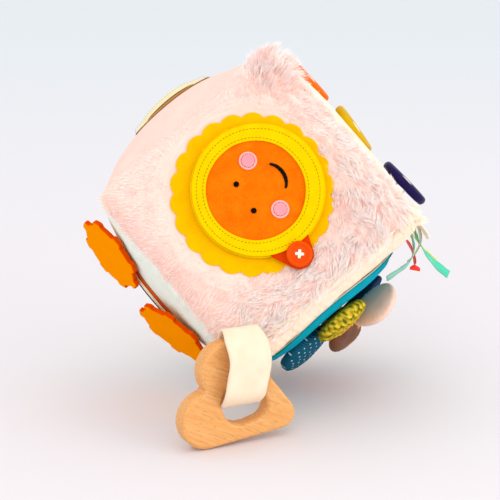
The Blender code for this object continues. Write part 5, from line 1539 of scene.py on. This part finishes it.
def petal_form(length, label, fullness, seed):
    """Padded leaf: flattened rings with a sewn edge, puckered beside it and curling back at the tip.

    Fullness is how the sewn petal's length, width and thickness compare with its pattern.
    """
    width, thickness = PETAL_WIDTH * fullness[1], PETAL_THICKNESS * fullness[2]
    step = np.linspace(0, math.pi, PETAL_RINGS + 2)[1:-1][:, None]
    turn = np.linspace(0, 2 * math.pi, PETAL_SIDES, endpoint=False)[None]
    reach = length * (1 - np.cos(step)) / 2 * np.ones_like(turn)
    half_width = width / 2 * np.sin(step) * (1 - PETAL_TIP_SHARE * np.cos(step))
    half_height = thickness / 2 * np.sin(step) ** 0.5
    edge = np.abs(np.cos(turn))
    pillow = np.sign(np.sin(turn)) * np.abs(np.sin(turn)) ** 0.8
    x, y = reach, half_width * np.cos(turn)
    run = np.arctan2(y, reach - length / 2)
    pucker = 0.00035 * np.sin(run * 26 + seed) * edge ** 3 * (1 - edge ** 12)
    soft = 0.00025 * waves(np.stack([x, y * np.ones_like(x)], -1), 0.012, seed)
    z = half_height * pillow * 0.97 + (pucker + soft * (1 - edge)) * np.sign(np.sin(turn))
    tint = np.full(x.shape, 0.5)
    if label == "lime":
        worm = waves(np.stack([x, y, z], -1), 0.0026, seed)
        z = z + 0.0007 * worm * np.abs(np.sin(turn))
        # The worm raises the ribs and also sets the chenille's painted shade: low in the grooves means
        # olive.
        tint = 0.36 + 0.42 * worm
    z = z + 0.25 * (thickness - PETAL_THICKNESS) - PETAL_CURL * (reach / length) ** 2
    return np.stack([x, y * np.ones_like(x), z], -1), tint


for k, (label, heading, tilt, roll, high, fullness) in enumerate(PETALS):
    length = (PETAL_HIGH_LENGTH if high else PETAL_LOW_LENGTH) * fullness[0]
    rise = PETAL_HIGH_RISE if high else PETAL_LOW_RISE
    place = (
        flower
        @ Matrix.Rotation(math.radians(heading), 4, "Z")
        @ Matrix.Translation((CENTRE_RADIUS + PETAL_ROOT_GAP, 0, rise))
        @ Matrix.Rotation(math.radians(-tilt), 4, "Y")
        @ Matrix.Rotation(math.radians(roll), 4, "X")
    )
    rings, tint = petal_form(length, label, fullness, 90 + k)
    ends = np.array([(0.0, 0.0, 0.0), (length, 0.0, -PETAL_CURL)])
    points = np.concatenate([ends[:1], rings.reshape(-1, 3), ends[1:]])
    shades = np.concatenate([[0.4], tint.ravel(), [0.5]])
    material, slot = petal_cloths[label]
    petal = new_piece(
        "petal_cloth_" + label, placed(points, place), [pod_faces(1, PETAL_RINGS, PETAL_SIDES)], material,
        "petal_" + label, uv=points[:, :2], tint=np.repeat(shades[:, None], 4, 1), weld=True,
    )
    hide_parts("petal_" + label)


# Ribbons, a tag and a gathered ruffle are sewn into the seam between the button side and the flower
# side. The ribbons are polyester satin tapes with ribbed selvedges; each end is heat-cut.

RIBBON_THICKNESS = 0.0006
RIBBON_START = 0.0008
RIBBON_ROWS = 80
RIBBON_COLUMNS = 15
RIBBONS = (
    ("corner_ruffle", -0.0655, 0.011, 0.012, (10, -20), 0, "cream_cotton"),
    ("tag_cream", -0.0555, 0.0075, 0.027, (-5, -60, -95), 0, "cream_cotton"),
    ("ribbon_teal", -0.0455, 0.0095, 0.040, (-32, -2, 14), 30, "teal_ribbon"),
    ("ribbon_yellow", -0.0345, 0.0085, 0.028, (-26, 0, 8), 18, "yellow_ribbon"),
    ("ribbon_mint", -0.0200, 0.0100, 0.043, (-4, -45, -95, -98), 14, "mint_ribbon"),
    ("ribbon_red", 0.0180, 0.0090, 0.029, (10, -20, -48), -45, "red_ribbon"),
)
ribbon_satins = {
    "cream_cotton": satin("cream_ribbon", "#FFF6E4", "#F8ECD4"),
    "teal_ribbon": satin("teal_ribbon", "#52D2AE", "#36B890"),
    "yellow_ribbon": satin("yellow_ribbon", "#E9E044", "#CFC728"),
    "mint_ribbon": satin("mint_ribbon", "#9ADDC6", "#78C8AE"),
    "red_ribbon": satin("red_ribbon", "#FA2A08", "#D61400"),
}


def ribbon_line(depth, length, bends, twist):
    """Middle line, width direction and flat direction of a tape that bends evenly out of the seam."""
    start = cover_points(BUTTON, np.array([HALF]), np.array([depth]))[0]
    start = start + RIBBON_START * np.array([1, 0, 1]) / math.sqrt(2)
    steps = np.linspace(0, len(bends) - 1, RIBBON_ROWS)
    angles = np.radians(np.interp(steps, np.arange(len(bends)), bends))
    turn = (angles[1:] + angles[:-1]) / 2
    step = length / (RIBBON_ROWS - 1)
    x = start[0] + step * np.concatenate([[0.0], np.cumsum(np.cos(turn))])
    z = start[2] + step * np.concatenate([[0.0], np.cumsum(np.sin(turn))])
    line = np.stack([x, np.full(RIBBON_ROWS, depth), z], -1)
    flat = np.stack([-np.sin(angles), np.zeros(RIBBON_ROWS), np.cos(angles)], -1)
    begin = 0.82 if twist < 0 else 0.05
    turned = smooth_step(np.linspace(0, 1, RIBBON_ROWS), begin, 0.95)
    spin = turned[:, None] * math.radians(1.25 * abs(twist))
    sideways = np.array([0.0, 1.0, 0.0])
    return line, np.cos(spin) * sideways + np.sin(spin) * flat, np.cos(spin) * flat - np.sin(spin) * sideways


def make_ribbon(name, depth, width, length, bends, twist, slot, k):
    """Tape between two grids: a little thicker at its selvedges, with a slight ripple along them."""
    line, sideways, flat = ribbon_line(depth, length, bends, twist)
    share = np.linspace(-1, 1, RIBBON_COLUMNS)
    run = np.linspace(0, length, RIBBON_ROWS)
    taper = np.ones(RIBBON_ROWS)
    if name == "corner_ruffle":
        taper = 0.75 + 0.35 * np.abs(np.sin(np.linspace(0.3, 3.0, RIBBON_ROWS)))
    if name == "tag_cream":
        taper = 1 - smooth_step(run, length - 0.006, length + 0.002) * 0.8
    ripple = 0.00015 * share[None] ** 2 * np.sin(2 * math.pi * run[:, None] / 0.011 + k)
    ripple = ripple * np.sign(share)[None]
    ripple = ripple * smooth_step(run, 0.0, 0.006)[:, None]
    thick = RIBBON_THICKNESS / 2 * (0.62 + 0.38 * np.abs(share[None]) ** 8) * np.ones((RIBBON_ROWS, 1))
    middle = line[:, None] + (share[None] * taper[:, None] * width / 2)[..., None] * sideways[:, None]
    sheets = [middle + (ripple + side * thick)[..., None] * flat[:, None] for side in (1, -1)]
    uv = np.stack(np.broadcast_arrays(run[:, None], share * width / 2), -1)
    piece = new_piece(
        name + "_tape", placed(np.stack(sheets), block), [sheet_quads(RIBBON_ROWS, RIBBON_COLUMNS)],
        ribbon_satins[slot], "block", uv=np.stack([uv, uv]), weld=True,
    )
    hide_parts(name)
    return middle


green_thread = sewing_thread("green_sewing_thread", "#5FAE86", "#3E8A66")
for k, (name, depth, width, length, bends, twist, slot) in enumerate(RIBBONS):
    middle = make_ribbon(name, depth, width, length, bends, twist, slot, k)
    if name == "tag_cream":
        edge = placed(np.concatenate([middle[:, 0], middle[::-1, -1]]), block)
        stitch_row("tag_edge_stitches", edge, (0.0, -0.96, 0.29), green_thread, "block",
                   pitch=0.0013, length=0.0012, radius=0.0003)


# The heart: a ring of oiled beech 12 mm thick, routed with rounded edges. Its grain runs across from
# the upper left, with the short dark ray flecks that beech has.

HEART_THICKNESS = 0.012
HEART_LEFT_OF_CORNER = 0.0205
HEART_AHEAD_OF_CORNER = 0.0292
HEART_YAW = math.radians(25)
GRAIN_SLOPE = math.radians(27)


def oiled_beech():
    """Beech: pinkish tan, fine slanting grain, short dark ray flecks, satin from the oil."""
    material, tree, shader = new_material("oiled_beech", 0.5, ior=1.46, specular=0.25)
    turned = add(
        tree, "Mapping",
        {"Vector": add(tree, "TexCoord", {}).outputs["Object"], "Rotation": (0.0, GRAIN_SLOPE, HEART_YAW)},
        vector_type="TEXTURE",
    ).outputs["Vector"]
    long_way = add(tree, "Mapping", {"Vector": turned, "Scale": (0.07, 1.0, 1.0)}).outputs["Vector"]
    short_way = add(tree, "Mapping", {"Vector": turned, "Scale": (0.16, 1.0, 1.0)}).outputs["Vector"]
    fleck = noise(tree, short_way, 0.0008, 1.0)
    grain = ranged(tree, noise(tree, long_way, 0.0012, 4.0, Roughness=0.6), 0.3, 0.7)
    body = blend(tree, grain, "#D2904E", "#F0B878")
    broad = blend(tree, ranged(tree, noise(tree, long_way, 0.005), 0.35, 0.75), body, "#E6A25C")
    tone = blend(tree, ranged(tree, fleck, 0.60, 0.75, 0.0, 0.6), broad, "#B0763A")
    dress(tree, shader, tone, fleck, 0.15, 0.0001)
    tree.links.new(ranged(tree, fleck, 0.0, 1.0, 0.42, 0.58), shader.inputs["Roughness"])
    return material


frame["nodes"]["heart_teether"].material_slots[0].material = oiled_beech()


# The heart's strap: 25 mm cream cotton tape, folded into a loop through the heart and sewn into the
# block's lower front corner. The loop hangs slack, so its front stands off the wood.

STRAP_WIDTH = 0.025
STRAP_THICKNESS = 0.0020
STRAP_FOLD_SHIFT = 0.003
STRAP_CLEARANCE = 0.0022
STRAP_ALONG = 0.0175
STRAP_SLACK = 0.0055
BIGHT_DROP = 0.0075
CREST_RISE = 0.0060
HEART_LEVEL = 0.0339744
STRAP_ROWS = 240

corner = Vector(placed(cover_points(FRONT, np.array([HALF]), np.array([-HALF])), block)[0])
heart_right = Vector((math.cos(HEART_YAW), math.sin(HEART_YAW), 0))
heart_face = Vector((math.sin(HEART_YAW), -math.cos(HEART_YAW), 0))
heart_place = Vector((corner.x - HEART_LEFT_OF_CORNER, corner.y - HEART_AHEAD_OF_CORNER, HEART_LEVEL))
hang = frame_matrix(heart_place, heart_right, heart_face)
root = hang.inverted() @ corner
stand_off = HEART_THICKNESS / 2 + STRAP_CLEARANCE + STRAP_THICKNESS / 2
limb_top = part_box("heart_teether")[1].z - HEART_LEVEL
shoulder = limb_top - STRAP_SLACK
strap_points = np.array([
    (root.z, root.y),
    (-stand_off, (root.y + shoulder) / 2),
    (-stand_off, shoulder),
    (0, limb_top + CREST_RISE),
    (stand_off + 0.8 * STRAP_SLACK, shoulder),
    (stand_off + STRAP_SLACK, 0.45 * shoulder),
    (stand_off + 0.7 * STRAP_SLACK, 0.0),
    (0.45 * stand_off, -BIGHT_DROP),
    (-0.6 * stand_off, -0.6 * BIGHT_DROP),
    (-stand_off, 0.35 * shoulder),
])


def smooth_loop(points, steps):
    """Closed Catmull-Rom curve through the given points."""
    before, after, far = np.roll(points, 1, 0), np.roll(points, -1, 0), np.roll(points, -2, 0)
    share = np.linspace(0, 1, steps, endpoint=False)[None, :, None]
    p0, p1, p2, p3 = (row[:, None, :] for row in (before, points, after, far))
    curve = 0.5 * (
        2 * p1
        + (p2 - p0) * share
        + (2 * p0 - 5 * p1 + 4 * p2 - p3) * share ** 2
        + (3 * p1 - p0 - 3 * p2 + p3) * share ** 3
    )
    return curve.reshape(-1, points.shape[1])


def strap_tape():
    """Soft brushed cotton tape: cream, matt, with a fine rib along it and a slight nap."""
    material, tree, shader = new_material("brushed_cotton_tape", 0.95, specular=0.05)
    cloth = add(tree, "TexCoord", {}).outputs["UV"]
    ribs = wave(tree, cloth, 0.0009, "Y", Distortion=0.8, Detail=2.0)
    level = times_plus(tree, ribs, 0.3, noise(tree, cloth, 0.012, 4.0))
    dress(tree, shader, blend(tree, level, "#E4CAA4", "#F7E5CE"), level, 0.3, 0.0003)
    return material


def make_strap():
    """Tape carried round the loop: a rounded section whose middle bellies out a little on the crest."""
    line = even_points(smooth_loop(strap_points, 24), STRAP_ROWS)
    tangent = np.roll(line, -1, 0) - np.roll(line, 1, 0)
    tangent /= np.linalg.norm(tangent, axis=1)[:, None]
    normal = np.stack([tangent[:, 1], -tangent[:, 0]], -1)
    step = np.linalg.norm(np.roll(line, -1, 0) - line, axis=1)
    run = np.concatenate([[0.0], np.cumsum(step)])
    across = np.concatenate([np.linspace(-1, 1, 26), np.linspace(1, -1, 26)[1:-1]])
    sign = np.concatenate([np.ones(26), -np.ones(24)])
    rim = np.sqrt(np.clip(1 - np.abs(across) ** 14, 0, 1))
    thick = STRAP_THICKNESS / 2 * rim * sign * (1 - 0.12 * np.cos(across * math.pi * 3) ** 8)
    sway = 0.0004 * np.sin(2 * math.pi * run[:-1, None] / 0.021) * across[None] ** 2
    lift = thick[None] + sway * np.clip(rim, 0.2, 1)[None]
    ahead_of_wood = smooth_step(line[:, 0], 0.0, stand_off)
    edge = STRAP_WIDTH / 2 * (1.02 + 0.14 * ahead_of_wood + 0.01 * np.sin(run[:-1] * 370))[:, None]
    fold = ahead_of_wood * smooth_step(-line[:, 1], -0.022, 0.0)
    places = np.stack([
        STRAP_ALONG + edge * across[None] - STRAP_FOLD_SHIFT * fold[:, None],
        line[:, 1:] + lift * normal[:, 1:],
        line[:, :1] + lift * normal[:, :1],
    ], -1)
    uv = np.stack([run[:-1, None] + 0 * edge * across, edge * across[None]], -1)
    places = np.concatenate([places, places[:, :1]], axis=1)
    uv = np.concatenate([uv, uv[:, :1]], axis=1)
    places = np.concatenate([places, places[:1]])
    uv = np.concatenate([uv, uv[:1]])
    strap = new_piece(
        "heart_strap_tape", placed(places.reshape(-1, 3), hang), [grid_quads(STRAP_ROWS + 1, 51)],
        strap_tape(), "heart_strap", uv=uv.reshape(-1, 2), weld=True,
    )
    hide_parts("heart_strap")


make_strap()


# The setting: a plain pale floor that fills the view, a large soft light from the upper left, weaker
# ones from the right and above, and a pale sky. The camera stands level with the photograph's.

FLOOR_RADIUS = 12.0
CAMERA_AZIMUTH = math.radians(-2)
CAMERA_ELEVATION = math.radians(12)
CAMERA_DISTANCE = 0.983
FOCAL_PIXELS = 1418
IMAGE_PIXELS = 500
BLOCK_AT = (255, 220)


def pale_floor():
    """Matt white table covering with faint broad clouds, and painted light: bluer far behind the block."""
    material, tree, shader = new_material("pale_floor", 0.9, specular=0.05)
    place = add(tree, "TexCoord", {}).outputs["Object"]
    away = add(tree, "VectorMath", {0: place}, operation="LENGTH").outputs["Value"]
    cloud = noise(tree, place, 0.9)
    # Painted light: warmer grey near the block, bluer grey far off, for the cool light on the distant floor.
    near = blend(tree, cloud, "#E1DCDE", "#E5E0E2")
    dress(tree, shader, blend(tree, ranged(tree, away, 0.4, 2.5), near, "#E3E6E8"), cloud, 0.02, 0.001)
    return material


turn = np.linspace(0, 2 * math.pi, 65)
reach = np.array([0.0, 0.3, 1.0, 4.0, FLOOR_RADIUS])[:, None]
ground = np.stack([reach * np.cos(turn), reach * np.sin(turn), 0 * reach * turn], -1)
floor_mesh = bpy.data.meshes.new("floor")
floor_mesh.from_pydata(ground.reshape(-1, 3).tolist(), [], grid_quads(5, 65).tolist())
floor_mesh.materials.append(pale_floor())
floor = bpy.data.objects.new("floor", floor_mesh)
bpy.context.scene.collection.objects.link(floor)


def soft_light(name, place, size, power, colour):
    """Square area light that faces the block."""
    light = bpy.data.lights.new(name, "AREA")
    light.shape = "SQUARE"
    light.size = size
    light.energy = power
    light.color = linear(colour)[:3]
    lamp = bpy.data.objects.new(name, light)
    lamp.location = place
    lamp.rotation_euler = (block_middle - Vector(place)).to_track_quat("-Z", "Y").to_euler()
    bpy.context.scene.collection.objects.link(lamp)


soft_light("key_light", (-0.6, -1.6, 1.25), 1.4, 7, "#FFF8F0")
soft_light("side_light", (1.3, -0.9, 0.25), 1.2, 11, "#FFFBF8")
soft_light("top_light", (0.1, 0.5, 1.9), 1.5, 3, "#FFFFFF")

sky = bpy.data.worlds.new("studio")
sky.use_nodes = True
sky.node_tree.nodes["Background"].inputs["Color"].default_value = linear("#F1F3F6")
sky.node_tree.nodes["Background"].inputs["Strength"].default_value = 1.19
bpy.context.scene.world = sky
bpy.context.scene.view_settings.view_transform = "Standard"

lens = bpy.data.cameras.new("camera")
lens.sensor_width = 36
lens.lens = 36 * FOCAL_PIXELS / IMAGE_PIXELS
lens.shift_x = (IMAGE_PIXELS / 2 - BLOCK_AT[0]) / IMAGE_PIXELS
lens.shift_y = (BLOCK_AT[1] - IMAGE_PIXELS / 2) / IMAGE_PIXELS
camera = bpy.data.objects.new("camera", lens)
away = Vector((
    math.sin(CAMERA_AZIMUTH) * math.cos(CAMERA_ELEVATION),
    -math.cos(CAMERA_AZIMUTH) * math.cos(CAMERA_ELEVATION),
    math.sin(CAMERA_ELEVATION),
))
camera.location = block_middle + CAMERA_DISTANCE * away
camera.rotation_euler = (-away).to_track_quat("-Z", "Y").to_euler()
bpy.context.scene.collection.objects.link(camera)
bpy.context.scene.camera = camera
